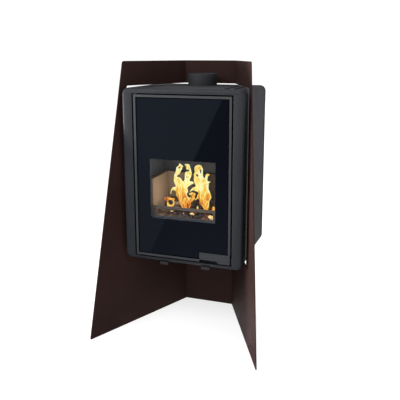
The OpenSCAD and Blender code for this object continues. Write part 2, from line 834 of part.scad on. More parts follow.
module hinge_blocks() color(zinc) place()
    for (z = [door_bottom + frame_t + touch, door_top - frame_t - touch - block_h])
        difference() {
            block(-half_door + frame_t + touch, hinge_x + block_wall, gasket_y + touch,
                face_y + block_d, z, z + block_h);
            z_hole(hinge_x, hinge_y, pin_r + running, z, z + block_h);
        }

module hinge_pins() color(zinc) place() {
    z_cyl(hinge_x, hinge_y, pin_r, opening_bottom + seat, door_bottom + pin_grip);
    z_cyl(hinge_x, hinge_y, pin_r, door_top - pin_grip, opening_top - seat);
}

// ---------- handle ----------

// stepped plate: its lower edge rises towards the left, where the fingers go behind it
module handle_outline() difference() {
    translate([handle_left, handle_bottom]) square([handle_l, handle_h]);
    polygon([[handle_left - over, handle_bottom - over], [handle_step_x, handle_bottom - over],
        [handle_step_x, handle_bottom], [handle_step_x - handle_slant, handle_bottom + handle_step],
        [handle_left - over, handle_bottom + handle_step]]);
}

module door_handle() color(body_grey) place() difference() {
    union() {
        slab(handle_y, handle_y + handle_t) handle_outline();
        for (z = [hook_z - hub_gap - hub_h, hook_z + hook_h + hub_gap]) {
            z_cyl(pivot_x, pivot_y, hub_r, z, z + hub_h);
            block(pivot_x - hub_r, pivot_x + hub_r, handle_y + handle_t - eps, pivot_y, z,
                z + hub_h);
        }
    }
    z_cyl(pivot_x, pivot_y, pivot_r + running, hook_z - 2 * hub_h - hub_gap,
        hook_z + hook_h + 2 * hub_h + hub_gap);
}

module handle_pivot_pin() color(zinc) place()
    z_cyl(pivot_x, pivot_y, pivot_r, door_bottom + frame_t + 2 * touch, notch_top - 2 * seat);

module latch_hook() color(zinc) place() difference() {
    union() {
        z_cyl(pivot_x, pivot_y, hub_r, hook_z, hook_z + hook_h);
        block(pivot_x, pivot_x + hook_reach, pivot_y - hook_front, pivot_y + hook_rear, hook_z,
            hook_z + hook_h);
    }
    z_hole(pivot_x, pivot_y, pivot_r + running, hook_z, hook_z + hook_h);
}

folded_stand();
support_rails();
rail_bolts();
casing_top();
casing_bottom();
casing_left();
casing_right();
rear_cover();
cover_screws();
front_bezel();
firebox_front();
firebox_shell();
smoke_hood();
flue_collar();
flue_trim_ring();
liner_left();
liner_right();
liner_back();
liner_floor();
grate();
baffle_plate();
baffle_rests();
airwash_deflector();
log_retainer();
ash_pan();
ash_box();
air_box();
air_slide_guides();
hinge_lugs();
latch_strike();
split_logs();
ember_bed();
door_frame();
door_glass();
glass_gasket();
door_back_panel();
panel_clips();
clip_screws();
door_seal_rope();
handle_tray();
hinge_blocks();
hinge_pins();
door_handle();
handle_pivot_pin();
latch_hook();
primary_air_slide();
secondary_air_slide();
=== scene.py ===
"""Wood burning stove in a folded sheet-steel stand: materials and finished shapes around the CAD frame.

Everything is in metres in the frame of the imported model: the floor is z = 0 and the door faces -Y.
"""

import math
import random

import bmesh
import bpy
import numpy as np
from mathutils import Matrix, Vector, geometry, noise


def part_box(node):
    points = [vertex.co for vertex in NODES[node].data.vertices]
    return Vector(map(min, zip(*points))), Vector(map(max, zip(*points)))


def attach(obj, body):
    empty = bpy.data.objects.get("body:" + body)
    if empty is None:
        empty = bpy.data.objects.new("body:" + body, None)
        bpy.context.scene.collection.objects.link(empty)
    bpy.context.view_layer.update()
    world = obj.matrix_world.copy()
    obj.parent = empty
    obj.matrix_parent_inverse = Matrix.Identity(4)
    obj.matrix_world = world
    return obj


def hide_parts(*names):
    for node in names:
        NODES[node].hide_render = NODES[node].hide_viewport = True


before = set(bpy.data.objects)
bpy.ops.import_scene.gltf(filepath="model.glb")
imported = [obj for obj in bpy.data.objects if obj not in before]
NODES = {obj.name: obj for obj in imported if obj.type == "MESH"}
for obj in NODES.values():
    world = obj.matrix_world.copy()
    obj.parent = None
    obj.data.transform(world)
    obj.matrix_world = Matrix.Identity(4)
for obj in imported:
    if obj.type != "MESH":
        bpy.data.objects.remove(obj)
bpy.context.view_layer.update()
MM = 0.001


# ---------- sizes read from the frame ----------


class Box:
    """Lowest and highest corner of a CAD node, by axis."""

    def __init__(self, node):
        low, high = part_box(node)
        self.x0, self.y0, self.z0 = low
        self.x1, self.y1, self.z1 = high


bezel = Box("front_bezel")
casing_top = Box("casing_top")
casing_bottom = Box("casing_bottom")
casing_right = Box("casing_right")
door = Box("door_frame")
pane = Box("door_glass")
collar = Box("flue_collar")
rope = Box("door_seal_rope")
floor_board = Box("liner_floor")
embers = Box("ember_bed")

# gaps between the door and its opening in the bezel: at the sides, and above and below
SIDE_GAP = 7.5 * MM
END_GAP = 6.5 * MM
opening = (door.x0 - SIDE_GAP, door.x1 + SIDE_GAP, door.z0 - END_GAP, door.z1 + END_GAP)

# the door's frame strip in front of the glass, and the rim of the glass beside it, where a shadow is painted
FRAME_SHOWS = 11.5 * MM
RIM_SHADE = 5 * MM

# the clear viewing area in the printed glass: half its width, and its lowest and highest edge
VIEW_HALF = 170.5 * MM
VIEW_Z = (621 * MM, 923 * MM)
CLEAR_ALPHA = 0.10

# corner radius of the bezel, the casing and the rear cover; thickness of the casing's sheet
CORNER = 30 * MM
SKIN = casing_top.z1 - casing_top.z0

# distance of the bezel's front from the inner face of the stand's back panel
FRONT_OUT = 439 * MM

# height that the flames' colours are measured from
FLAME_BASE = 0.655

# the camera stands at the photograph's view; the flames and the studio cards are placed from it
CAMERA_PLACE = Vector((0.9200, -2.5464, 1.4243))
CAMERA_TILT = (math.pi / 2 - 0.2175, 0, 0.3292)


# ---------- materials ----------


class Look:
    """A material being built: one Principled shader, and short calls that add and link nodes."""

    def __init__(self, name, **sockets):
        self.mat = bpy.data.materials.new(name)
        self.mat.use_nodes = True
        self.nodes = self.mat.node_tree.nodes
        self.links = self.mat.node_tree.links
        self.shader = self.nodes["Principled BSDF"]
        self.output = self.nodes["Material Output"]
        for key, value in sockets.items():
            self.shader.inputs[key.replace("_", " ")].default_value = value
        self.place = self.add("ShaderNodeTexCoord").outputs["Object"]

    def add(self, kind, **settings):
        node = self.nodes.new(kind)
        for key, value in settings.items():
            if key in node.inputs:
                node.inputs[key].default_value = value
            else:
                setattr(node, key, value)
        return node

    def link(self, source, target):
        self.links.new(source, target)

    def set(self, socket, source):
        self.link(source, self.shader.inputs[socket])

    def stretched(self, x, y, z):
        """The place on the object, scaled by axis, for grain that runs one way."""
        node = self.add("ShaderNodeMapping")
        node.inputs["Scale"].default_value = (x, y, z)
        self.link(self.place, node.inputs["Vector"])
        return node.outputs["Vector"]

    def noise(self, scale, detail=4.0, rough=0.55, vector=None, distortion=0.0):
        node = self.add("ShaderNodeTexNoise", Scale=scale, Detail=detail, Roughness=rough)
        node.inputs["Distortion"].default_value = distortion
        self.link(vector or self.place, node.inputs["Vector"])
        return node.outputs["Fac"]

    def cells(self, scale, feature="F1", vector=None, output="Distance"):
        node = self.add("ShaderNodeTexVoronoi", feature=feature)
        node.inputs["Scale"].default_value = scale
        self.link(vector or self.place, node.inputs["Vector"])
        return node.outputs[output]

    def flecks(self, scale):
        """A random grey in each cell."""
        node = self.add("ShaderNodeRGBToBW")
        self.link(self.cells(scale, output="Color"), node.inputs[0])
        return node.outputs[0]

    def ramp(self, fac, *stops):
        """Colour by fac; each stop is (position, grey) or (position, (r, g, b))."""
        node = self.add("ShaderNodeValToRGB")
        points = node.color_ramp.elements
        while len(points) < len(stops):
            points.new(0.5)
        for point, (position, colour) in zip(points, stops):
            point.position = position
            rgb = colour if isinstance(colour, tuple) else (colour,) * 3
            point.color = (*rgb, 1.0)
        self.link(fac, node.inputs["Fac"])
        return node.outputs["Color"]

    def math(self, operation, a, b=None, clamp=False):
        node = self.add("ShaderNodeMath", operation=operation, use_clamp=clamp)
        for socket, value in zip(node.inputs, (a, b)):
            if value is None:
                continue
            if isinstance(value, (int, float)):
                socket.default_value = value
            else:
                self.link(value, socket)
        return node.outputs["Value"]

    def mix(self, fac, a, b, blend="MIX"):
        node = self.add("ShaderNodeMix", data_type="RGBA", blend_type=blend)
        for index, value in ((0, fac), (6, a), (7, b)):
            socket = node.inputs[index]
            if isinstance(value, (int, float)):
                socket.default_value = value
            elif isinstance(value, tuple):
                socket.default_value = (*value, 1.0)
            else:
                self.link(value, socket)
        return node.outputs[2]

    def axis(self, name):
        node = self.add("ShaderNodeSeparateXYZ")
        self.link(self.place, node.inputs[0])
        return node.outputs[name]

    def span(self, value, low, high, smooth=False, out=(0.0, 1.0)):
        """The first of out at low, the second at high, and a ramp between."""
        node = self.add("ShaderNodeMapRange", interpolation_type="SMOOTHSTEP" if smooth else "LINEAR")
        node.inputs["From Min"].default_value = low
        node.inputs["From Max"].default_value = high
        node.inputs["To Min"].default_value = out[0]
        node.inputs["To Max"].default_value = out[1]
        self.link(value, node.inputs["Value"])
        return node.outputs["Result"]

    def bump(self, height, distance, strength=1.0):
        node = self.add("ShaderNodeBump", Strength=strength, Distance=distance)
        self.link(height, node.inputs["Height"])
        if self.shader.inputs["Normal"].links:
            self.link(self.shader.inputs["Normal"].links[0].from_socket, node.inputs["Normal"])
        self.set("Normal", node.outputs["Normal"])


def shade(colour, factor):
    return tuple(c * factor for c in colour)


def stove_paint(name, colour, rough=0.5, spec=0.35, dust=0.0):
    """Baked-on stove paint: a fine grainy skin, faint clouds of tone and slightly polished high spots."""
    look = Look(name, Specular_IOR_Level=spec)
    cloud = look.noise(5.0, 3.0)
    grain = look.noise(1400.0, 2.0)
    tone = look.ramp(cloud, (0.3, shade(colour, 0.90)), (0.7, shade(colour, 1.10)))
    speck = look.ramp(grain, (0.35, 0.88), (0.65, 1.12))
    base = look.mix(1.0, tone, speck, "MULTIPLY")
    if dust:
        streak = look.noise(9.0, 5.0, 0.7, look.stretched(1.0, 1.0, 0.35))
        base = look.mix(look.math("MULTIPLY", look.span(streak, 0.52, 0.8), dust), base, (0.16, 0.15, 0.14))
    look.set("Base Color", base)
    look.set("Roughness", look.ramp(look.noise(60.0, 3.0), (0.3, rough - 0.05), (0.7, rough + 0.06)))
    look.bump(grain, 0.05 * MM, 0.35)
    look.bump(look.noise(260.0, 2.0), 0.12 * MM, 0.18)
    return look.mat


def powder_coat(name, colour, rough, spec):
    """Dark brown powder coat on sheet steel: soft orange peel and a fine two-tone grain."""
    look = Look(name, Specular_IOR_Level=spec)
    cloud = look.noise(3.2, 4.0)
    grain = look.noise(900.0, 2.0, 0.6)
    flake = look.cells(1600.0, output="Color")
    tone = look.ramp(cloud, (0.32, shade(colour, 0.88)), (0.68, shade(colour, 1.12)))
    base = look.mix(0.25, tone, look.mix(1.0, tone, flake, "MULTIPLY"))
    look.set("Base Color", look.mix(1.0, base, look.ramp(grain, (0.3, 0.85), (0.7, 1.2)), "MULTIPLY"))
    look.set("Roughness", look.ramp(look.noise(24.0, 3.0), (0.3, rough - 0.04), (0.7, rough + 0.06)))
    look.bump(grain, 0.06 * MM, 0.4)
    look.bump(look.noise(320.0, 1.0), 0.15 * MM, 0.25)
    return look.mat


def bare_steel(name, colour, rough=0.38, heat=0.0):
    """Sheet steel with mill streaks and, where it has been hot, brown and blue-grey bloom."""
    look = Look(name, Metallic=1.0)
    streak = look.noise(40.0, 3.0, 0.5, look.stretched(1.0, 1.0, 14.0))
    base = look.ramp(streak, (0.25, shade(colour, 0.85)), (0.75, shade(colour, 1.12)))
    if heat:
        bloom = look.noise(7.0, 4.0, 0.6, None, 0.6)
        tint = look.ramp(bloom, (0.3, (0.16, 0.12, 0.10)), (0.5, (0.19, 0.17, 0.17)),
                         (0.7, (0.13, 0.15, 0.19)))
        base = look.mix(heat, base, tint)
    look.set("Base Color", base)
    look.set("Roughness", look.ramp(look.noise(90.0, 4.0), (0.3, rough - 0.08), (0.7, rough + 0.1)))
    look.bump(streak, 0.03 * MM, 0.3)
    return look.mat


def zinc_plate(name, colour=(0.55, 0.56, 0.57)):
    """Zinc with its frosted crystal pattern."""
    look = Look(name, Metallic=1.0)
    spangle = look.flecks(140.0)
    look.set("Base Color", look.ramp(spangle, (0.2, shade(colour, 0.82)), (0.8, shade(colour, 1.1))))
    look.set("Roughness", look.ramp(spangle, (0.1, 0.28), (0.9, 0.46)))
    look.bump(look.noise(700.0, 2.0), 0.02 * MM, 0.4)
    return look.mat


def cast_iron(name):
    """Sand-cast iron, coarse and nearly black, with ash caught in the low spots."""
    look = Look(name, Metallic=0.35, Specular_IOR_Level=0.35)
    sand = look.noise(420.0, 6.0, 0.7)
    ash = look.span(look.noise(18.0, 5.0, 0.65), 0.5, 0.75)
    base = look.ramp(sand, (0.3, (0.018, 0.018, 0.019)), (0.7, (0.05, 0.05, 0.052)))
    look.set("Base Color", look.mix(look.math("MULTIPLY", ash, 0.7), base, (0.22, 0.20, 0.18)))
    look.set("Roughness", look.ramp(sand, (0.2, 0.6), (0.8, 0.85)))
    look.bump(sand, 0.35 * MM, 0.7)
    return look.mat


def firebrick(name, colour=(0.33, 0.235, 0.155), darken_right=0.0):
    """Pressed vermiculite board: warm beige flakes and fine pits; with darken_right it grows darker towards
    +X.
    """
    look = Look(name, Specular_IOR_Level=0.2)
    flakes = look.flecks(420.0)
    fleck = look.ramp(flakes, (0.15, shade(colour, 0.86)), (0.5, colour), (0.9, shade(colour, 1.16)))
    smoke = look.span(look.noise(6.0, 4.0, 0.6, look.stretched(1.0, 1.0, 0.6)), 0.5, 0.85, True)
    base = look.mix(look.math("MULTIPLY", smoke, 0.3), fleck, shade(colour, 0.5))
    # the board grows darker towards +X, with a cloudy boundary
    if darken_right:
        cloud = look.math("MULTIPLY", look.noise(9.0, 4.0), 0.16)
        across = look.span(look.math("ADD", look.axis("X"), cloud), -0.13, 0.11, True)
        base = look.mix(look.math("MULTIPLY", across, 0.88), base, (0.030, 0.022, 0.018))
    look.set("Base Color", base)
    look.set("Roughness", look.ramp(flakes, (0.1, 0.8), (0.9, 0.95)))
    pits = look.span(look.cells(260.0), 0.05, 0.32)
    look.bump(pits, 0.25 * MM, 0.6)
    look.bump(flakes, 0.1 * MM, 0.5)
    return look.mat


def glass_fibre(name, colour):
    """Knitted glass-fibre rope: pale loops in rows, grey between them."""
    look = Look(name, Specular_IOR_Level=0.25)
    look.shader.inputs["Sheen Weight"].default_value = 0.3
    stitch = look.cells(520.0, "SMOOTH_F1")
    fuzz = look.noise(2600.0, 3.0, 0.7)
    base = look.ramp(stitch, (0.1, shade(colour, 1.25)), (0.55, shade(colour, 0.55)))
    frayed = look.ramp(fuzz, (0.3, shade(colour, 0.6)), (0.7, shade(colour, 1.3)))
    look.set("Base Color", look.mix(0.35, base, frayed))
    look.set("Roughness", look.ramp(fuzz, (0.2, 0.8), (0.8, 0.95)))
    look.bump(stitch, 0.6 * MM, 0.7)
    look.bump(fuzz, 0.08 * MM, 0.6)
    return look.mat


def ceramic_glass(name):
    """Ceramic pane, printed black on its inner face round a clear viewing area, with a painted shadow along
    its rim beside the frame strip.
    """
    look = Look(name, Roughness=0.04, Specular_IOR_Level=0.22, IOR=1.5)
    across = look.math("ABSOLUTE", look.axis("X"))
    up = look.axis("Z")
    edge = 0.4 * MM
    inside = look.math("MULTIPLY", look.span(across, VIEW_HALF + edge, VIEW_HALF - edge),
                       look.math("MULTIPLY", look.span(up, VIEW_Z[0] - edge, VIEW_Z[0] + edge),
                                 look.span(up, VIEW_Z[1] + edge, VIEW_Z[1] - edge)))
    speck = look.noise(240.0, 4.0, 0.6)
    ink = look.ramp(speck, (0.3, (0.0022, 0.0026, 0.0040)), (0.7, (0.0030, 0.0035, 0.0054)))
    half = door.x1 - FRAME_SHOWS
    middle = (door.z0 + door.z1) / 2
    high = door.z1 - FRAME_SHOWS - middle
    off_middle = look.math("ABSOLUTE", look.math("SUBTRACT", up, middle))
    # painted shadow: the rim beside the frame strip is darkened and reflects less
    rim = look.math("MAXIMUM", look.span(across, half - RIM_SHADE, half - RIM_SHADE + edge),
                    look.span(off_middle, high - RIM_SHADE, high - RIM_SHADE + edge))
    ink = look.mix(rim, ink, (0.0006, 0.0007, 0.0010))
    look.set("Specular IOR Level", look.span(rim, 1.0, 0.0, out=(0.05, 0.22)))
    haze = look.ramp(look.noise(14.0, 4.0), (0.35, (0.02, 0.02, 0.022)), (0.75, (0.05, 0.048, 0.045)))
    look.set("Base Color", look.mix(inside, ink, haze))
    look.set("Roughness", look.ramp(look.noise(30.0, 4.0), (0.35, 0.035), (0.75, 0.075)))
    look.set("Alpha", look.span(inside, 1.0, 0.0, out=(CLEAR_ALPHA, 1.0)))
    return look.mat


def bark_wood(name):
    """Split firewood: furrowed bark, charred towards the fire."""
    look = Look(name, Specular_IOR_Level=0.2)
    furrow = look.noise(55.0, 6.0, 0.65, look.stretched(0.35, 1.6, 1.6), 0.4)
    char = look.span(look.noise(26.0, 4.0), 0.42, 0.6, True)
    wood = look.ramp(furrow, (0.3, (0.035, 0.020, 0.012)), (0.55, (0.085, 0.050, 0.028)),
                     (0.75, (0.16, 0.10, 0.06)))
    look.set("Base Color", look.mix(char, wood, (0.010, 0.009, 0.008)))
    look.set("Roughness", look.ramp(furrow, (0.3, 0.95), (0.7, 0.78)))
    look.bump(furrow, 1.6 * MM, 0.8)
    return look.mat


def cut_wood(name):
    """The split and sawn faces of a log: long fibres, scorched brown at the edges."""
    look = Look(name, Specular_IOR_Level=0.25)
    fibre = look.noise(120.0, 5.0, 0.6, look.stretched(0.12, 2.0, 2.0), 0.3)
    scorch = look.span(look.noise(22.0, 4.0), 0.4, 0.62, True)
    wood = look.ramp(fibre, (0.3, (0.10, 0.055, 0.03)), (0.7, (0.26, 0.16, 0.09)))
    look.set("Base Color", look.mix(scorch, wood, (0.02, 0.013, 0.010)))
    look.set("Roughness", look.ramp(fibre, (0.3, 0.85), (0.7, 0.7)))
    look.bump(fibre, 0.7 * MM, 0.7)
    return look.mat


def hot_coal(name, glow_level=0.5):
    """Charcoal under a skin of ash, with a few cracks that glow."""
    look = Look(name, Specular_IOR_Level=0.2)
    crack = look.cells(120.0, "DISTANCE_TO_EDGE")
    glow_zone = look.span(look.noise(16.0, 3.0), 0.50, 0.66, True)
    ash = look.noise(140.0, 5.0, 0.7)
    look.set("Base Color", look.ramp(ash, (0.35, (0.022, 0.018, 0.017)), (0.55, (0.085, 0.070, 0.064)),
                                     (0.8, (0.20, 0.18, 0.17))))
    look.set("Roughness", look.ramp(ash, (0.3, 0.75), (0.8, 0.95)))
    heat = look.math("MULTIPLY", look.span(crack, 0.28, 0.02), glow_zone)
    glow = look.ramp(heat, (0.0, (0.0, 0.0, 0.0)), (0.3, (0.20, 0.02, 0.004)), (0.7, (0.80, 0.22, 0.04)),
                     (1.0, (1.0, 0.7, 0.3)))
    look.set("Emission Color", glow)
    look.shader.inputs["Emission Strength"].default_value = glow_level
    look.bump(ash, 0.8 * MM, 0.8)
    return look.mat


def bright_coal(name):
    """A lump burning yellow-hot, redder at its edges."""
    look = Look(name, Specular_IOR_Level=0.1, Roughness=0.9)
    patch = look.noise(90.0, 3.0, 0.6)
    look.set("Base Color", look.ramp(patch, (0.3, (0.05, 0.02, 0.01)), (0.7, (0.12, 0.06, 0.03))))
    look.set("Emission Color", look.ramp(patch, (0.30, (0.55, 0.14, 0.03)), (0.46, (1.0, 0.62, 0.20)),
                                         (0.62, (1.0, 0.92, 0.56))))
    look.shader.inputs["Emission Strength"].default_value = 1.25
    look.bump(patch, 0.6 * MM, 0.6)
    look.mat.cycles.emission_sampling = "NONE"
    return look.mat


def fire(name, cool=0.0, foot=0.012, crown=0.125):
    """Flame: pale yellow rims and veins over orange, redder from crown down to foot, above FLAME_BASE."""
    look = Look(name, Roughness=1.0, Specular_IOR_Level=0.0)
    veins = look.noise(34.0, 2.0, 0.5, look.stretched(2.0, 0.6, 0.6), 1.5)
    fine = look.noise(95.0, 2.0, 0.5, look.stretched(1.8, 0.6, 0.5), 0.9)
    rise = look.span(look.axis("Z"), FLAME_BASE + foot, FLAME_BASE + crown)
    depth = look.add("ShaderNodeAttribute", attribute_name="depth_from_edge").outputs["Fac"]
    parts = ((look.span(veins, 0.38, 0.62), 0.38), (look.span(fine, 0.36, 0.64), 0.22),
             (rise, 0.44 - cool), (look.span(depth, 0.55, 0.05), 0.22))
    heat = 0.0
    for value, share in parts:
        heat = look.math("ADD", look.math("MULTIPLY", value, share), heat)
    glow = look.ramp(heat, (0.10, (0.30, 0.040, 0.008)), (0.28, (0.66, 0.15, 0.022)),
                     (0.44, (0.90, 0.36, 0.045)), (0.60, (1.0, 0.64, 0.10)), (0.78, (1.0, 0.88, 0.22)),
                     (0.96, (1.0, 1.0, 0.62)))
    root = look.span(look.axis("Z"), FLAME_BASE - 0.030, FLAME_BASE + 0.006)
    look.set("Emission Color", look.mix(root, (0.20, 0.025, 0.005), glow))
    look.shader.inputs["Emission Strength"].default_value = 1.14
    look.set("Base Color", look.ramp(heat, (0.0, (0.02, 0.01, 0.0)), (1.0, (0.04, 0.03, 0.01))))
    look.mat.cycles.emission_sampling = "NONE"
    return look.mat


BROWN = powder_coat("stand_powder_coat", (0.0290, 0.0140, 0.0120), 0.6, 0.05)
BODY = stove_paint("bezel_paint", (0.0155, 0.0172, 0.0200), 0.5, 0.18)
CASING = stove_paint("casing_paint", (0.0365, 0.0362, 0.0400), 0.7, 0.05)
COVER = stove_paint("rear_cover_paint", (0.0205, 0.0202, 0.0222), 0.75, 0.04)
STRIP = stove_paint("door_strip_paint", (0.030, 0.0315, 0.034), 0.42, 0.25)
TAB = stove_paint("air_tab_paint", (0.021, 0.018, 0.018), 0.5, 0.2)
HANDLE = stove_paint("handle_paint", (0.026, 0.028, 0.031), 0.42, 0.22)
FLUE = stove_paint("flue_paint", (0.0190, 0.0200, 0.0220), 0.6, 0.2)
GLASS = ceramic_glass("ceramic_glass")
HOT_STEEL = stove_paint("firebox_steel", (0.064, 0.071, 0.083), 0.6, 0.2, 0.08)
BAR_STEEL = stove_paint("fire_scaled_bar", (0.096, 0.074, 0.062), 0.6, 0.12, 0.15)
DARK_STEEL = stove_paint("dark_sheet_steel", (0.022, 0.0225, 0.024), 0.55, 0.25)
# near-black paint that stands in for shade: on gap returns, in the door's finger recess and behind its strip,
# on the handle tray and on slot walls
PAINTED_SHADE_BLACK = stove_paint("painted_gap_shade_black", (0.0045, 0.0048, 0.0055), 0.7, 0.08)
DARK_ZINC = bare_steel("blackened_steel", (0.075, 0.075, 0.078), 0.5, 0.3)
MILL_STEEL = bare_steel("mill_steel", (0.30, 0.30, 0.31), 0.45, 0.4)
ZINC = zinc_plate("zinc_plate")
IRON = cast_iron("grate_iron")
BRICK = firebrick("vermiculite_board")
RIGHT_DARKENED_BRICK = firebrick("vermiculite_board_darker_right", darken_right=1.0)
ROPE = glass_fibre("seal_rope_fibre", (0.13, 0.125, 0.12))
GASKET = glass_fibre("gasket_fibre", (0.10, 0.10, 0.10))
BARK = bark_wood("log_bark")
SPLIT = cut_wood("log_split_face")
COAL = hot_coal("ash_covered_coal", 0.32)
HOT_COAL = bright_coal("burning_coal")
FLAME = fire("flame")
SMOULDER = fire("smouldering_flame", 0.30)
EMBER_FLAME = fire("ember_flame", 0.14, 0.036, 0.0)

# CAD nodes that keep their shape: material, and the width in millimetres that their edges are softened by
NODE_LOOKS = {
    "folded_stand": (BROWN, 0.8),
    "support_rails": (DARK_STEEL, 0.5),
    "rail_bolts": (ZINC, 0.4),
    "cover_screws": (ZINC, 0.2),
    "casing_bottom": (CASING, 0.3),
    "liner_floor": (BRICK, 1.0),
    "firebox_front": (HOT_STEEL, 0.5),
    "firebox_shell": (HOT_STEEL, 0.5),
    "smoke_hood": (DARK_STEEL, 0.6),
    "flue_trim_ring": (FLUE, 0.3),
    "grate": (IRON, 1.0),
    "baffle_rests": (HOT_STEEL, 0.4),
    "airwash_deflector": (HOT_STEEL, 0.3),
    "log_retainer": (BAR_STEEL, 0.6),
    "ash_pan": (ZINC, 0.4),
    "ash_box": (DARK_STEEL, 0.5),
    "air_box": (DARK_STEEL, 0.5),
    "air_slide_guides": (DARK_STEEL, 0.4),
    "hinge_lugs": (DARK_STEEL, 0.3),
    "latch_strike": (DARK_ZINC, 0.2),
    "door_frame": (STRIP, 0.5),
    "door_glass": (GLASS, 0.5),
    "glass_gasket": (GASKET, 0.2),
    "door_back_panel": (DARK_STEEL, 0.3),
    "panel_clips": (MILL_STEEL, 0.3),
    "clip_screws": (ZINC, 0.2),
    # the handle tray gets the black painted shade
    "handle_tray": (PAINTED_SHADE_BLACK, 0.3),
    "hinge_blocks": (DARK_ZINC, 0.4),
    "hinge_pins": (ZINC, 0.2),
    "door_handle": (HANDLE, 0.6),
    "handle_pivot_pin": (DARK_ZINC, 0.2),
    "latch_hook": (DARK_ZINC, 0.3),
    "primary_air_slide": (TAB, 0.4),
    "secondary_air_slide": (TAB, 0.4),
}


# ---------- mesh helpers ----------


def soften(obj, width, segments=2, angle=38):
    """Rounds an object's sharp edges by width and evens its shading."""
    bevel = obj.modifiers.new("edges", "BEVEL")
    bevel.width = width
    bevel.segments = segments
    bevel.limit_method = "ANGLE"
    bevel.angle_limit = math.radians(angle)
    bevel.harden_normals = False
    normals = obj.modifiers.new("normals", "WEIGHTED_NORMAL")
    normals.keep_sharp = False
    normals.weight = 60


def finish_cad(name, material, edge_mm):
    """Gives a CAD node its material and soft edges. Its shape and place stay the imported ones."""
    obj = NODES[name]
    obj.data.materials.clear()
    obj.data.materials.append(material)
    for polygon in obj.data.polygons:
        polygon.use_smooth = True
    weld = obj.modifiers.new("weld", "WELD")
    weld.merge_threshold = 0.002 * MM
    flat = obj.modifiers.new("flat", "DECIMATE")
    flat.decimate_type = "DISSOLVE"
    flat.angle_limit = math.radians(0.5)
    soften(obj, edge_mm * MM)


def new_object(name, data):
    """An object in the scene, of a mesh, lamp or camera."""
    obj = bpy.data.objects.new(name, data)
    bpy.context.scene.collection.objects.link(obj)
    return obj


def solid(name, verts, faces):
    """A mesh object of vertices and faces."""
    mesh = bpy.data.meshes.new(name)
    mesh.from_pydata([tuple(v) for v in verts], [], faces)
    return new_object(name, mesh)


def declared(obj, material, body, replaces):
    """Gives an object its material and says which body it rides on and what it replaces."""
    obj.data.materials.append(material)
    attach(obj, body)
    if replaces:
        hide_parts(*replaces)
    return obj


def piece(name, verts, faces, material, body, replaces, slot):
    """A new smooth mesh piece that rides on a body."""
    obj = solid(name, verts, faces)
    obj.data.validate()
    obj.data.shade_smooth()
    return declared(obj, material, body, replaces)


def joined(parts):
    """Vertices and faces of several meshes in one."""
    verts, faces = [], []
    for more_verts, more_faces in parts:
        start = len(verts)
        verts += more_verts
        faces += [tuple(start + i for i in face) for face in more_faces]
    return verts, faces


def rounded_loop(x0, x1, z0, z1, r, y, steps=10):
    """Points of a rectangle with round corners in the plane y, counter-clockwise seen from -Y."""
    points = []
    corners = ((x1 - r, z1 - r), (x0 + r, z1 - r), (x0 + r, z0 + r), (x1 - r, z0 + r))
    for (cx, cz), start in zip(corners, (0, 90, 180, 270)):
        for i in range(steps + 1):
            a = math.radians(start + 90 * i / steps)
            points.append(Vector((cx + r * math.cos(a), y, cz + r * math.sin(a))))
    return points


def bridged(loops, closed=True):
    """Vertices and quads between loops of equal length; closed joins the last loop to the first."""
    verts = [p for loop in loops for p in loop]
    n = len(loops[0])
    faces = []
    for i in range(len(loops) if closed else len(loops) - 1):
        a, b = i * n, (i + 1) % len(loops) * n
        for k in range(n):
            m = (k + 1) % n
            faces.append((a + k, a + m, b + m, b + k))
    return verts, faces


def turned(profile, centre, steps=96, closed=True):
    """A ring turned about the vertical line through centre; profile is (radius, z) points."""
    loops = []
    for r, z in profile:
        loops.append([Vector((centre[0] + r * math.cos(a), centre[1] + r * math.sin(a), z))
                      for a in (2 * math.pi * k / steps for k in range(steps))])
    return bridged(loops, closed)


def quarter(r, steps=4):
    """(cosine side, sine side) points of a quarter circle of radius r, for rounding an edge."""
    angles = [math.pi / 2 * i / steps for i in range(steps + 1)]
    return [(r * (1 - math.cos(a)), r * (1 - math.sin(a))) for a in angles]


# ---------- the surround ----------


def front_surround():
    """The bezel: a broad flat frame whose outer rim rolls back, with a crisp inner edge."""
    roll = 12 * MM
    crisp = 0.8 * MM
    x0, x1, z0, z1 = bezel.x0, bezel.x1, bezel.z0, bezel.z1
    ox0, ox1, oz0, oz1 = opening
    loops = []

    def outer(inset, y):
        loops.append(rounded_loop(x0 + inset, x1 - inset, z0 + inset, z1 - inset, CORNER - inset, y))

    def inner(grow, y):
        loops.append(rounded_loop(ox0 - grow, ox1 + grow, oz0 - grow, oz1 + grow, 1.5 * MM + grow, y))

    outer(0.6 * MM, bezel.y1)
    outer(0, bezel.y1 - 0.6 * MM)
    for side, front in quarter(roll, 8):
        outer(side, bezel.y0 + front)
    for side, front in reversed(quarter(crisp, 3)):
        inner(side, bezel.y0 + front)
    inner(0, bezel.y1)
    verts, faces = bridged(loops)
    obj = piece("surround", verts, faces, BODY, "stove", ["front_bezel"], "body_paint")
    shade_by_angle(obj, 30)
    # painted shade: the opening's return behind the crisp edge is black
    paint_shade_black(obj, opening, bezel.y0 + crisp)


def paint_shade_black(obj, inside, behind):
    """The faces of an opening's return, behind the front edge, get black painted shade."""
    x0, x1, z0, z1 = inside
    reach = 0.5 * MM
    obj.data.materials.append(PAINTED_SHADE_BLACK)
    for face in obj.data.polygons:
        c = face.center
        if x0 - reach < c.x < x1 + reach and z0 - reach < c.z < z1 + reach and c.y > behind:
            face.material_index = 1


def shade_by_angle(obj, degrees):
    """Smooth shading, except across edges sharper than the angle."""
    mesh = obj.data
    mesh.shade_smooth()
    bm = bmesh.new()
    bm.from_mesh(mesh)
    bmesh.ops.recalc_face_normals(bm, faces=bm.faces)
    for edge in bm.edges:
        edge.smooth = len(edge.link_faces) == 2 and edge.calc_face_angle(0) < math.radians(degrees)
    bm.to_mesh(mesh)
    bm.free()


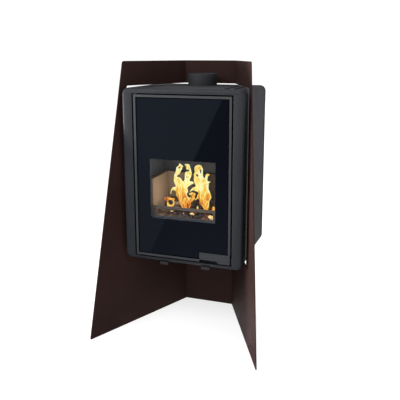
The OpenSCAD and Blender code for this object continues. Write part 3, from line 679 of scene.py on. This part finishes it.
def cut_away(obj, cutters):
    """Subtracts cutters from obj and deletes them."""
    for cutter in cutters:
        hole = obj.modifiers.new("cut", "BOOLEAN")
        hole.operation = "DIFFERENCE"
        hole.solver = "EXACT"
        hole.object = cutter
    depsgraph = bpy.context.evaluated_depsgraph_get()
    baked = bpy.data.meshes.new_from_object(obj.evaluated_get(depsgraph))
    obj.modifiers.clear()
    obj.data = baked
    for cutter in cutters:
        bpy.data.objects.remove(cutter)


def cutter(outline, z0, z1):
    """A vertical prism of an outline in plan, to cut with."""
    n = len(outline)
    verts = [Vector((x, y, z)) for z in (z0, z1) for x, y in outline]
    faces = [tuple(range(n - 1, -1, -1)), tuple(range(n, 2 * n))]
    faces += [(k, (k + 1) % n, n + (k + 1) % n, n + k) for k in range(n)]
    return solid("cutter", verts, faces)


def slot_outline(x, y0, y1, width, steps=10):
    r = width / 2
    points = []
    for cy, start in ((y1 - r, 0), (y0 + r, 180)):
        for i in range(steps + 1):
            a = math.radians(start + 180 * i / steps)
            points.append((x + r * math.cos(a), cy + r * math.sin(a)))
    return points


def disc_outline(x, y, r, steps=72):
    angles = [2 * math.pi * k / steps for k in range(steps)]
    return [(x + r * math.cos(a), y + r * math.sin(a)) for a in angles]


def sheet(name, node, path, material):
    """A bent sheet: path is (x, z) points of its outer face in order, thickness towards the inside."""
    crisp = 0.3 * MM
    y0, y1 = casing_top.y0, casing_top.y1
    inward = []
    for i, (x, z) in enumerate(path):
        ax, az = path[max(0, i - 1)]
        bx, bz = path[min(len(path) - 1, i + 1)]
        length = math.hypot(bx - ax, bz - az)
        inward.append((-(bz - az) / length, (bx - ax) / length))
    section = [(0, crisp), (crisp, 0), (SKIN - crisp, 0), (SKIN, crisp)]
    rims = [(depth, y0 + trim) for depth, trim in section]
    rims += [(depth, y1 - trim) for depth, trim in reversed(section)]
    loops = [[Vector((x + nx * depth, y, z + nz * depth)) for (x, z), (nx, nz) in zip(path, inward)]
             for depth, y in rims]
    verts = [p for loop in loops for p in loop]
    n = len(path)
    m = len(loops)
    faces = [(a * n + k, a * n + k + 1, (a + 1) % m * n + k + 1, (a + 1) % m * n + k)
             for a in range(m) for k in range(n - 1)]
    faces.append(tuple(a * n for a in range(m)))
    faces.append(tuple(a * n + n - 1 for a in reversed(range(m))))
    return piece(name, verts, faces, material, "stove", [node], "body_paint")


def side_path(side):
    """Outer face of a side sheet, from its top seam round both corners to its bottom seam."""
    steps = 14
    x_in, x_out = casing_right.x0, casing_right.x1
    z0, z1 = casing_bottom.z0, casing_top.z1
    points = [(x_in, z1)]
    for cz, start in ((z1 - CORNER, 90), (z0 + CORNER, 0)):
        for k in range(steps + 1):
            a = math.radians(start - 90 * k / steps)
            points.append((x_out - CORNER + CORNER * math.cos(a), cz + CORNER * math.sin(a)))
    points.append((x_in, z0))
    if side < 0:
        points = [(-x, z) for x, z in reversed(points)]
    return list(reversed(points))


def paint_slot_wall_shade(obj):
    """The walls of the cut-outs in the casing's top get black painted shade; its outer edges do not."""
    edge = 1 * MM
    obj.data.materials.append(PAINTED_SHADE_BLACK)
    for face in obj.data.polygons:
        x, y = abs(face.center.x), face.center.y
        inside = x < casing_top.x1 - edge and casing_top.y0 + edge < y < casing_top.y1 - edge
        if inside and abs(face.normal.z) < 0.5:
            face.material_index = 1


# the casing top's cut-outs: the slots' width, their places across, their ends behind the bezel's front,
# the radius of the flue's hole, and how far the cutters reach past the sheet
SLOT_WIDTH = 14 * MM
SLOT_PLACES = (200 * MM, 246 * MM)
SLOT_STARTS = 47 * MM
SLOT_ENDS = 319 * MM
FLUE_HOLE_R = 79 * MM
CUT_REACH = 5 * MM


def casing_sheets():
    """The outer casing: two bent side sheets and a slotted top with the flue's hole."""
    for side, name in ((-1, "left"), (1, "right")):
        obj = sheet("casing_side_" + name, "casing_" + name, side_path(side), CASING)
        shade_by_angle(obj, 30)
    x = casing_top.x1
    z = casing_top.z1
    top = sheet("casing_cover", "casing_top", [(x, z), (-x, z)], CASING)
    heights = (z - CUT_REACH, z + CUT_REACH)
    slot_ends = (bezel.y0 + SLOT_STARTS, bezel.y0 + SLOT_ENDS)
    cutters = [cutter(slot_outline(side * at, *slot_ends, SLOT_WIDTH), *heights)
               for side in (-1, 1) for at in SLOT_PLACES]
    flue_y = (collar.y0 + collar.y1) / 2
    cutters.append(cutter(disc_outline(0, flue_y, FLUE_HOLE_R), *heights))
    cut_away(top, cutters)
    shade_by_angle(top, 30)
    paint_slot_wall_shade(top)


def rear_shell():
    """The rear cover: a shallow tray with round corners and a soft back edge, over the casing's end."""
    box = Box("rear_cover")
    fillet, rim, wall = 14 * MM, 18 * MM, 3 * MM
    loops = []

    def ring(inset, y):
        sides = (box.x0 + inset, box.x1 - inset, box.z0 + inset, box.z1 - inset)
        loops.append(rounded_loop(*sides, CORNER - inset, y))

    ring(fillet, box.y1 - wall)
    ring(fillet, box.y0 + rim)
    ring(SKIN, box.y0 + rim)
    ring(SKIN, box.y0)
    ring(0.3 * MM, box.y0)
    ring(0, box.y0 + 0.3 * MM)
    for side, back in quarter(fillet, 6):
        ring(side, box.y1 - back)
    verts, faces = bridged(loops, closed=False)
    n = len(loops[0])
    last = (len(loops) - 1) * n
    faces.append(tuple(reversed(range(n))))
    faces.append(tuple(range(last, last + n)))
    obj = piece("rear_cover_shell", verts, faces, COVER, "stove", ["rear_cover"], "cover_paint")
    shade_by_angle(obj, 30)


def flue_spigot():
    """The flue collar: a rolled rim, a slightly wider foot and the flange inside."""
    centre = ((collar.x0 + collar.x1) / 2, (collar.y0 + collar.y1) / 2)
    flange_r = (collar.x1 - collar.x0) / 2
    r = flange_r - 5 * MM
    foot_r = r + 1.5 * MM
    foot_z = casing_top.z1 + 4 * MM
    wall = 3 * MM
    top = collar.z1
    lip = 1.2 * MM
    flange_top = collar.z0 + 4 * MM
    ease = 0.5 * MM
    profile = [(r - wall, collar.z0), (flange_r, collar.z0), (flange_r, flange_top), (foot_r, flange_top)]
    profile += [(foot_r, foot_z - ease), (foot_r - ease, foot_z), (r, foot_z)]
    profile += [(r, top - lip), (r - 0.3 * lip, top - 0.3 * lip), (r - lip, top)]
    profile += [(r - wall + lip, top), (r - wall + 0.3 * lip, top - 0.3 * lip), (r - wall, top - lip)]
    verts, faces = turned(profile, centre, 128)
    obj = piece("flue_spigot_ring", verts, faces, FLUE, "stove", ["flue_collar"], "body_paint")
    shade_by_angle(obj, 40)


# ---------- fire chamber ----------


# a length in metres that counts as none
NOTHING = 1e-6


def outward(place, centre, axis):
    """1 or -1: the way from the centre to the place along an axis."""
    return 1 if place[axis] > centre[axis] else -1


def board(name, node, material):
    """A vermiculite board with worn edges and a slightly uneven face."""
    low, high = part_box(node)
    size = high - low
    step = 9 * MM
    counts = [max(2, round(s / step)) for s in size]
    bm = bmesh.new()
    bmesh.ops.create_cube(bm, size=1.0)
    for axis in range(3):
        others = [other for other in range(3) if other != axis]
        edges = [e for e in bm.edges
                 if all(abs((e.verts[0].co - e.verts[1].co)[other]) < NOTHING for other in others)]
        bmesh.ops.subdivide_edges(bm, edges=edges, cuts=counts[axis] - 1, use_grid_fill=True)
    centre = (low + high) / 2
    chamfer = 2.2 * MM
    skim = 0.3 * MM
    for v in bm.verts:
        place = Vector(centre[i] + v.co[i] * size[i] for i in range(3))
        near = sorted((min(place[i] - low[i], high[i] - place[i]), i) for i in range(3))
        wear = 0.35 * MM * (noise.noise(place * 60) + 0.6 * noise.noise(place * 160))
        nearest = near[0][1]
        place[nearest] -= outward(place, centre, nearest) * max(0.0, skim + wear)
        if near[1][0] < NOTHING:
            chip = chamfer * (0.55 + 0.8 * max(0.0, noise.noise(place * 45)))
            at_corner = near[2][0] < NOTHING
            for _, i in near[:3 if at_corner else 2]:
                place[i] -= outward(place, centre, i) * chip * 0.6
        v.co = place
    mesh = bpy.data.meshes.new(name)
    bm.to_mesh(mesh)
    bm.free()
    obj = declared(new_object(name, mesh), material, "stove", [node])
    shade_by_angle(obj, 50)


def log_shape(length, radius, seed, split=0.55, rings=64, around=48):
    """One split log along X, centred on the origin: bark, one split face and sawn ends."""
    offset = Vector((seed * 7.3, seed * 3.1, seed * 5.7))
    verts, faces, split_faces = [], [], []
    cut = radius * split
    angle = math.radians(35)
    normal = Vector((0, math.cos(angle), math.sin(angle)))
    for i in range(rings + 1):
        x = length * (i / rings - 0.5)
        for k in range(around):
            a = 2 * math.pi * k / around
            direction = Vector((0, math.cos(a), math.sin(a)))
            bend = 0.05 * radius * math.sin(3.0 * x / length + seed)
            lump = noise.noise(Vector((x * 12, math.cos(a) * 1.2, math.sin(a) * 1.2)) + offset)
            r = radius * (0.93 + 0.07 * lump)
            furrow = noise.noise(Vector((x * 25, math.cos(a) * 7, math.sin(a) * 7)) + offset)
            r += 0.035 * radius * furrow
            point = direction * r
            depth = point.dot(normal) - cut
            if depth > 0:
                fibre = 0.02 * radius * noise.noise(Vector((x * 9, point.y * 220, point.z * 220)) + offset)
                point -= normal * (depth - fibre)
            verts.append(Vector((x, point.y + bend, point.z)))
    for i in range(rings):
        for k in range(around):
            m = (k + 1) % around
            faces.append((i * around + k, i * around + m, (i + 1) * around + m, (i + 1) * around + k))
            a = 2 * math.pi * (k + 0.5) / around
            split_faces.append(Vector((0, math.cos(a), math.sin(a))).dot(normal) * radius * 0.95 > cut)
    for end, ring in ((0, 0), (1, rings)):
        centre = len(verts)
        x = length * (end - 0.5)
        verts.append(Vector((x, 0, 0)))
        for k in range(around):
            m = (k + 1) % around
            a, b = ring * around + k, ring * around + m
            faces.append((centre, a, b) if end else (centre, b, a))
            split_faces.append(True)
    return verts, faces, split_faces


def firewood():
    """Three split logs, the third lying across the other two."""
    base = floor_board.z1 + 42 * MM
    radius = 27 * MM
    front = bezel.y0 + FRONT_OUT - 302 * MM
    pitch = 74 * MM
    logs = [(270 * MM, radius, 0, front, base, 4, 1),
            (280 * MM, radius, 0, front + pitch, base, -3, 2),
            (150 * MM, radius * 0.8, 8 * MM, front + pitch / 2, base + 1.85 * radius, 62, 3)]
    shapes, is_split = [], []
    for length, r, x, y, z, turn, seed in logs:
        verts, faces, split_faces = log_shape(length, r, seed)
        place = Matrix.Translation((x, y, z)) @ Matrix.Rotation(math.radians(turn), 4, "Z")
        shapes.append(([place @ p for p in verts], faces))
        is_split += split_faces
    verts, faces = joined(shapes)
    obj = piece("firewood", verts, faces, BARK, "stove", ["split_logs"], "bark")
    obj.data.materials.append(SPLIT)
    for polygon, cut in zip(obj.data.polygons, is_split):
        polygon.material_index = 1 if cut else 0
    shade_by_angle(obj, 55)


def chunk(centre, size, seed, detail=2):
    """A lump of charcoal: a broken, faceted stone shape."""
    rng = random.Random(seed)
    bm = bmesh.new()
    bmesh.ops.create_icosphere(bm, subdivisions=detail, radius=1.0)
    stretch = Vector((rng.uniform(0.8, 1.4), rng.uniform(0.7, 1.1), rng.uniform(0.55, 0.8)))
    spin = Matrix.Rotation(rng.uniform(0, 6.28), 3, "Z") @ Matrix.Rotation(rng.uniform(-0.5, 0.5), 3, "X")
    offset = Vector((seed * 1.7, seed * 2.9, seed * 0.7))
    planes = []
    for _ in range(7):
        facing = Vector((rng.uniform(-1, 1), rng.uniform(-1, 1), rng.uniform(-1, 1))).normalized()
        planes.append((facing, rng.uniform(0.55, 0.85)))
    for v in bm.verts:
        p = v.co.copy()
        for normal, limit in planes:
            over = p.dot(normal) - limit
            if over > 0:
                p -= normal * over
        p *= 1 + 0.12 * noise.noise(p * 2.5 + offset)
        p = Vector((p.x * stretch.x, p.y * stretch.y, p.z * stretch.z))
        v.co = centre + (spin @ p) * size
    verts = [v.co.copy() for v in bm.verts]
    faces = [tuple(v.index for v in f.verts) for f in bm.faces]
    bm.free()
    return verts, faces


# burning lumps in the bed: x, distance from the stand's back and radius, in millimetres
HOT_SPOTS = [(-106, 312, 6), (-98, 317, 5), (8, 320, 7), (18, 325, 8), (114, 338, 13), (127, 346, 13),
             (-30, 336, 3)]


def coals():
    """A bed of ash with lumps of glowing charcoal on it."""
    rng = random.Random(11)
    x0, x1, y0, y1 = embers.x0, embers.x1, embers.y0, embers.y1
    z0, height = embers.z0, embers.z1 - embers.z0
    nx, ny = 70, 44
    verts, faces = [], []
    for j in range(ny + 1):
        for i in range(nx + 1):
            u, v = i / nx, j / ny
            x, y = x0 + (x1 - x0) * u, y0 + (y1 - y0) * v
            rim = min(u, 1 - u, v * 0.8, (1 - v) * 0.8) * 6
            lump = 0.55 + 0.45 * noise.noise(Vector((x * 42, y * 42, 0.3)))
            lump += 0.2 * noise.noise(Vector((x * 130, y * 130, 2)))
            verts.append(Vector((x, y, z0 + min(1.0, rim) * height * 0.62 * max(0.05, lump))))
    for j in range(ny):
        for i in range(nx):
            a = j * (nx + 1) + i
            faces.append((a, a + 1, a + nx + 2, a + nx + 1))
    top = len(verts)
    border = [i for i in range(nx + 1)] + [(j + 1) * (nx + 1) + nx for j in range(ny)]
    border += [ny * (nx + 1) + i for i in range(nx - 1, -1, -1)]
    border += [j * (nx + 1) for j in range(ny - 1, 0, -1)]
    for k in border:
        verts.append(Vector((verts[k].x, verts[k].y, z0)))
    n = len(border)
    for k in range(n):
        m = (k + 1) % n
        faces.append((border[m], border[k], top + k, top + m))
    faces.append(tuple(top + k for k in range(n)))
    parts = [(verts, faces)]
    margin = 12 * MM
    for k in range(150):
        x = rng.uniform(x0 + margin, x1 - margin)
        y = rng.uniform(y0 + margin, y1 - margin)
        size = rng.uniform(4.5, 9.5) * MM
        lift = z0 + min(height * rng.uniform(0.25, 0.7), height - size * 0.62)
        parts.append(chunk(Vector((x, y, max(lift, z0 + size * 0.5))), size, k + 1))
    obj = piece("coals", *joined(parts), COAL, "stove", ["ember_bed"], "embers")
    shade_by_angle(obj, 35)


def burning_coals():
    """The few lumps that burn, half sunk in the bed."""
    lumps = []
    for k, (x, y, size) in enumerate(HOT_SPOTS):
        centre = Vector((x * MM, bezel.y0 + FRONT_OUT - y * MM, embers.z1 - 0.66 * size * MM))
        lumps.append(chunk(centre, size * MM, 300 + k, 3))
    obj = piece("burning_coals", *joined(lumps), HOT_COAL, "stove", (), "embers")
    shade_by_angle(obj, 35)


# Outlines of the flames in millimetres, on an upright plane 280 mm in front of the stand's back as the
# camera sees them: (x, z) in order round the edge, starting at the root. Each may have holes. Most points
# were picked on an enlarged photograph and turned into millimetres with the fitted camera.
FLAMES = {
    "flame_left": (
        [(-50, 627), (-59, 642), (-68, 655), (-74, 666), (-77, 679), (-80, 692), (-86, 697), (-90, 711),
         (-89, 725), (-99, 732), (-109, 733), (-117, 725), (-121, 712), (-124, 707), (-121, 723),
         (-116, 738), (-108, 747), (-99, 751), (-90, 752), (-91, 761), (-96, 771), (-101, 780),
         (-102, 792), (-102, 803), (-100, 815), (-96, 827), (-93, 842), (-91, 852), (-84, 859),
         (-77, 864), (-74, 872), (-70, 876), (-64, 871), (-57, 867), (-51, 862), (-57, 856), (-60, 845),
         (-66, 838), (-70, 828), (-74, 819), (-83, 814), (-87, 807), (-82, 802), (-72, 801), (-65, 795),
         (-59, 786), (-53, 781), (-47, 788), (-45, 800), (-45, 819), (-43, 828), (-35, 834), (-23, 837),
         (-18, 841), (-22, 847), (-33, 847), (-33, 855), (-36, 865), (-42, 873), (-30, 877), (-16, 875),
         (-12, 864), (-9, 851), (-6, 834), (-7, 822), (-11, 810), (-16, 798), (-18, 785), (-6, 784),
         (2, 781), (3, 774), (-7, 769), (-18, 761), (-27, 754), (-27, 744), (-24, 732), (-29, 722),
         (-30, 713), (-25, 704), (-18, 697), (-15, 687), (-9, 676), (-10, 660), (-17, 645), (-31, 626)],
        [[(-81, 850), (-78, 846), (-71, 850), (-69, 855), (-75, 858)],
         [(-36, 806), (-34, 797), (-31, 804), (-33, 816)]]),
    "flame_right": (
        [(66, 627), (61, 648), (50, 664), (41, 671), (38, 683), (36, 695), (27, 697), (18, 689),
         (14, 693), (23, 702), (27, 715), (33, 727), (22, 735), (10, 737), (1, 740), (-8, 734),
         (-14, 731), (-7, 745), (1, 753), (12, 757), (15, 765), (8, 779), (5, 794), (7, 811), (8, 826),
         (14, 839), (13, 854), (15, 864), (23, 873), (35, 876), (46, 874), (52, 866), (58, 856),
         (58, 837), (58, 821), (61, 812), (67, 810), (71, 817), (73, 827), (80, 834), (88, 833),
         (94, 829), (87, 823), (83, 813), (82, 796), (89, 794), (98, 794), (94, 787), (87, 783),
         (87, 773), (84, 758), (86, 746), (93, 731), (100, 712), (98, 702), (91, 690), (89, 676),
         (88, 659), (84, 645), (79, 627)],
        [[(18, 822), (21, 815), (26, 812), (33, 818), (29, 826), (23, 828)],
         [(42, 849), (43, 836), (46, 830), (49, 838), (50, 851), (46, 855)]]),
    "flame_curl": (
        [(-159, 680), (-154, 688), (-141, 692), (-126, 687), (-107, 688), (-100, 683), (-104, 672),
         (-103, 656), (-110, 643), (-118, 634), (-126, 628), (-133, 632), (-139, 640), (-144, 652),
         (-144, 666), (-150, 674)],
        [[(-137, 674), (-124, 677), (-111, 673), (-109, 661), (-117, 651), (-129, 652), (-136, 662)]]),
    "flame_spike": (
        [(25, 627), (23, 646), (25, 657), (29, 656), (33, 644), (31, 627)],
        []),
    "flame_edge": (
        [(106, 628), (104, 644), (105, 654), (111, 661), (118, 660), (120, 649), (117, 635), (112, 628)],
        []),
    "flame_stub": (
        [(-17, 722), (-8, 726), (-1, 728), (10, 726), (16, 720), (12, 707), (13, 696), (5, 687),
         (-6, 677), (-15, 686), (-17, 699), (-10, 702), (-6, 714), (-14, 715)],
        []),
}
FLAME_DEPTH = {"flame_left": 342, "flame_right": 346, "flame_curl": 352, "flame_spike": 356,
               "flame_edge": 352, "flame_stub": 336}
FLAME_LOOKS = {"flame_curl": EMBER_FLAME, "flame_stub": SMOULDER, "flame_edge": SMOULDER}
DRAWN_AT = 280 * MM


def closed_curve(points, steps=4):
    """Smooth closed curve through points, by Catmull-Rom."""
    out = []
    n = len(points)
    for i in range(n):
        p0, p1, p2, p3 = (np.array(points[(i + k - 1) % n], float) for k in range(4))
        for k in range(steps):
            t = k / steps
            out.append(0.5 * (2 * p1 + (p2 - p0) * t + (2 * p0 - 5 * p1 + 4 * p2 - p3) * t * t
                              + (3 * p1 - p0 - 3 * p2 + p3) * t ** 3))
    return out


def edge_distance(points, loops):
    """Distance of each (x, z) point from the nearest edge of any loop."""
    best = np.full(len(points), np.inf)
    for loop in loops:
        a = np.array(loop)
        b = np.roll(a, -1, axis=0)
        for p, q in zip(a, b):
            run = q - p
            t = np.clip(((points - p) @ run) / max(1e-9, run @ run), 0, 1)
            gap = points - (p + t[:, None] * run)
            best = np.minimum(best, np.hypot(gap[:, 0], gap[:, 1]))
    return best


def slab_between(loops, half):
    """A flat slab with holes, of half thickness half, in millimetres."""
    flat = [[Vector((x, z, 0)) for x, z in loop] for loop in loops]
    triangles = geometry.tessellate_polygon(flat)
    points = [p for loop in loops for p in loop]
    n = len(points)
    verts = [(x, -half, z) for x, z in points] + [(x, half, z) for x, z in points]
    faces = [tuple(t) for t in triangles] + [tuple(n + i for i in reversed(t)) for t in triangles]
    start = 0
    for loop in loops:
        m = len(loop)
        faces += [(start + k, start + (k + 1) % m, n + start + (k + 1) % m, n + start + k) for k in range(m)]
        start += m
    return verts, faces


def flame(name, outline, holes, depth, material):
    """One flame: its outline is remeshed to an even skin, swollen away from its edges and swayed in depth."""
    loops = [closed_curve(outline)] + [closed_curve(hole) for hole in holes]
    half = 2.2
    edge_zone = 12
    verts, faces = slab_between(loops, half)
    obj = piece(name, verts, faces, material, "stove", (), "embers")
    shade_by_angle(obj, 180)
    melt = obj.modifiers.new("melt", "REMESH")
    melt.mode = "VOXEL"
    melt.voxel_size = 1.6
    melt.use_smooth_shade = True
    relax = obj.modifiers.new("relax", "SMOOTH")
    relax.factor = 0.5
    relax.iterations = 3
    depsgraph = bpy.context.evaluated_depsgraph_get()
    baked = bpy.data.meshes.new_from_object(obj.evaluated_get(depsgraph))
    obj.modifiers.clear()
    obj.data = baked
    drawn = np.array([(v.co.x, v.co.z) for v in baked.vertices])
    from_edge = edge_distance(drawn, loops)
    depths = baked.attributes.new("depth_from_edge", "FLOAT", "POINT")
    depths.data.foreach_set("value", from_edge / edge_zone)
    swell = 3.0 * np.sqrt(from_edge) + 0.4
    y_mid = bezel.y0 + FRONT_OUT - depth * MM
    drawn_y = bezel.y0 + FRONT_OUT - DRAWN_AT
    shift = (y_mid - CAMERA_PLACE.y) / (drawn_y - CAMERA_PLACE.y)
    for v, fat in zip(baked.vertices, swell):
        x, z = v.co.x * MM, v.co.z * MM
        side = max(-1.0, min(1.0, v.co.y / half))
        ripple = noise.noise(Vector((x * 55, side * 0.6, z * 28)))
        sway = 7 * math.sin(z * 34 + x * 22) * min(1.0, max(0.0, (z - 0.64) * 9)) + 3.0 * ripple
        y = side * fat * (1 + 0.25 * ripple) + sway
        v.co = (CAMERA_PLACE.x + (x - CAMERA_PLACE.x) * shift, y_mid + y * MM,
                CAMERA_PLACE.z + (z - CAMERA_PLACE.z) * shift)
    baked.shade_smooth()


def flames():
    """All the flames, each at its own depth."""
    for name, (outline, holes) in FLAMES.items():
        flame(name, outline, holes, FLAME_DEPTH[name], FLAME_LOOKS.get(name, FLAME))


# ---------- door seal ----------


def seal_rope():
    """The knitted rope round the door's inner face: a soft ring with a raised plait."""
    width = 14 * MM
    r = min(width, rope.y1 - rope.y0) / 2
    y = (rope.y0 + rope.y1) / 2
    inset = width / 2
    corner = 16 * MM
    spine = rounded_loop(rope.x0 + inset, rope.x1 - inset, rope.z0 + inset, rope.z1 - inset, corner, y, 8)
    ring = []
    step = 2.6 * MM
    for a, b in zip(spine, spine[1:] + spine[:1]):
        count = max(1, round((b - a).length / step))
        ring += [a.lerp(b, k / count) for k in range(count)]
    loops = []
    n = len(ring)
    around = 20
    for i, p in enumerate(ring):
        tangent = (ring[(i + 1) % n] - ring[i - 1]).normalized()
        side = tangent.cross(Vector((0, 1, 0)))
        loop = []
        for k in range(around):
            a = 2 * math.pi * k / around
            plait = math.sin(3 * a + i * 0.8) * math.sin(3 * a - i * 0.8)
            direction = side * math.cos(a) + Vector((0, 1, 0)) * math.sin(a)
            loop.append(p + direction * (r * (0.955 + 0.045 * plait)))
        loops.append(loop)
    verts, faces = bridged(loops)
    piece("seal_rope", verts, faces, ROPE, "door", ["door_seal_rope"], "seal_rope")


# ---------- build ----------

# the finger recess, where shade is painted black: its two ends from the door's right edge, and its height
# above the lower edge;
# and how deep the strip's own paint goes before the frame behind it gets painted shade
RECESS_STARTS = 160 * MM
RECESS_ENDS = 50 * MM
RECESS_TOP = 13 * MM
STRIP_DEPTH = 9 * MM


def paint_door_frame_shade():
    """Painted shade: the door frame is black in the finger recess under the handle, and behind the strip."""
    recess = (door.x1 - RECESS_STARTS, door.x1 - RECESS_ENDS, door.z0, door.z0 + RECESS_TOP)
    paint_shade_black(NODES["door_frame"], recess, door.y0 + 1 * MM)
    paint_shade_black(NODES["door_frame"], (door.x0, door.x1, door.z0, door.z1), door.y0 + STRIP_DEPTH)


for node, (material, edge_mm) in NODE_LOOKS.items():
    finish_cad(node, material, edge_mm)

paint_door_frame_shade()
front_surround()
casing_sheets()
rear_shell()
flue_spigot()
board("liner_left_board", "liner_left", BRICK)
for node in ("liner_right", "liner_back", "baffle_plate"):
    board(node + "_board", node, RIGHT_DARKENED_BRICK)
firewood()
coals()
burning_coals()
flames()
seal_rope()


# ---------- stage ----------


def floor():
    """A white floor that runs well past the picture, a little self-lit so that shadows stay soft."""
    reach = 14.0
    corners = [(-reach, -reach, 0), (reach, -reach, 0), (reach, reach, 0), (-reach, reach, 0)]
    obj = solid("floor", corners, [(0, 1, 2, 3)])
    look = Look("floor_paint", Roughness=0.9, Specular_IOR_Level=0.1)
    look.set("Base Color", look.ramp(look.noise(0.8, 2.0), (0.3, 0.44), (0.7, 0.46)))
    look.shader.inputs["Emission Color"].default_value = (1.0, 1.0, 1.0, 1.0)
    look.shader.inputs["Emission Strength"].default_value = 0.72
    obj.data.materials.append(look.mat)


def mirrored(x, z, y_card):
    """Where the card plane y_card is seen in the glass at the place (x, z) of the pane's face."""
    behind = Vector((CAMERA_PLACE.x, 2 * pane.y0 - CAMERA_PLACE.y, CAMERA_PLACE.z))
    ray = Vector((x, pane.y0, z)) - behind
    return behind + ray * (y_card - behind.y) / ray.y


def reflection_cards():
    """Two upright cards that only reflections see: the glass mirrors them, split by a slanting edge."""
    y_card = -0.75
    # where the slanting edge is seen on the glass, high up and low down
    top = mirrored(205 * MM, 1228 * MM, y_card)
    foot = mirrored(-155 * MM, 480 * MM, y_card)
    lean = (top.x - foot.x) / (top.z - foot.z)
    low, high = 0.01, 1.7
    edge = [foot.x + (z - foot.z) * lean for z in (low, high)]
    left, right = -1.5, 0.9
    cards = (("card_left", left, edge, (0.33, 0.43, 0.60), (0.36, 0.42, 0.57)),
             ("card_right", right, edge, (0.00, 0.01, 0.08), (0.24, 0.27, 0.44)))
    near = bezel.y0 - 5 * MM
    for name, side, (edge_low, edge_high), top_colour, low_colour in cards:
        corners = [(side, y_card, low), (edge_low, y_card, low), (edge_high, y_card, high),
                   (side, y_card, high), (side, near, low), (edge_low, near, low)]
        obj = solid(name, corners, [(0, 1, 2, 3), (0, 1, 5, 4)])
        look = Look(name, Roughness=1.0, Specular_IOR_Level=0.0)
        look.shader.inputs["Base Color"].default_value = (0, 0, 0, 1)
        up = look.span(look.axis("Z"), 0.1, 0.8)
        look.set("Emission Color", look.mix(up, low_colour, top_colour))
        look.shader.inputs["Emission Strength"].default_value = 1.0
        look.mat.cycles.emission_sampling = "NONE"
        obj.data.materials.append(look.mat)
        obj.visible_camera = obj.visible_diffuse = obj.visible_shadow = obj.visible_transmission = False


def softbox(name, place, target, size, power, colour=(1, 1, 1)):
    """A rectangular lamp that shines from place to target."""
    light = bpy.data.lights.new(name, "AREA")
    light.shape = "RECTANGLE"
    light.size, light.size_y = size
    light.energy = power
    light.color = colour
    obj = new_object(name, light)
    obj.location = place
    obj.rotation_euler = (Vector(target) - Vector(place)).to_track_quat("-Z", "Y").to_euler()
    obj.visible_camera = False


def fire_lamp(name, power, place):
    """A small warm lamp inside the fire chamber."""
    light = bpy.data.lights.new(name, "POINT")
    light.energy = power
    light.color = (1.0, 0.92, 0.86)
    light.shadow_soft_size = 0.05
    new_object(name, light).location = place


def studio():
    """White surroundings, two soft lamps outside and two small ones in the fire."""
    world = bpy.data.worlds.new("studio")
    world.use_nodes = True
    world.node_tree.nodes["Background"].inputs["Color"].default_value = (1.0, 1.0, 1.0, 1.0)
    world.node_tree.nodes["Background"].inputs["Strength"].default_value = 1.05
    bpy.context.scene.world = world
    bpy.context.scene.view_settings.view_transform = "Standard"
    softbox("top", (-1.3, -2.5, 3.1), (0, 0, 0.9), (1.6, 1.6), 75)
    softbox("low_left", (-3.0, -0.88, 0.40), (0.38, -0.1, 0.45), (0.5, 0.6), 190, (1.0, 0.97, 0.95))
    fire_lamp("fire_glow", 1.1, (0.0, bezel.y0 + 0.09, 0.80))
    fire_lamp("ember_glow", 0.55, (-0.07, bezel.y0 + 0.115, 0.685))


def camera():
    """A camera at the photograph's view."""
    data = bpy.data.cameras.new("camera")
    data.sensor_width = 36
    data.lens = 49.22
    data.shift_y = -0.0625
    obj = new_object("camera", data)
    obj.location = CAMERA_PLACE
    obj.rotation_euler = CAMERA_TILT
    bpy.context.scene.camera = obj


floor()
studio()
reflection_cards()
camera()
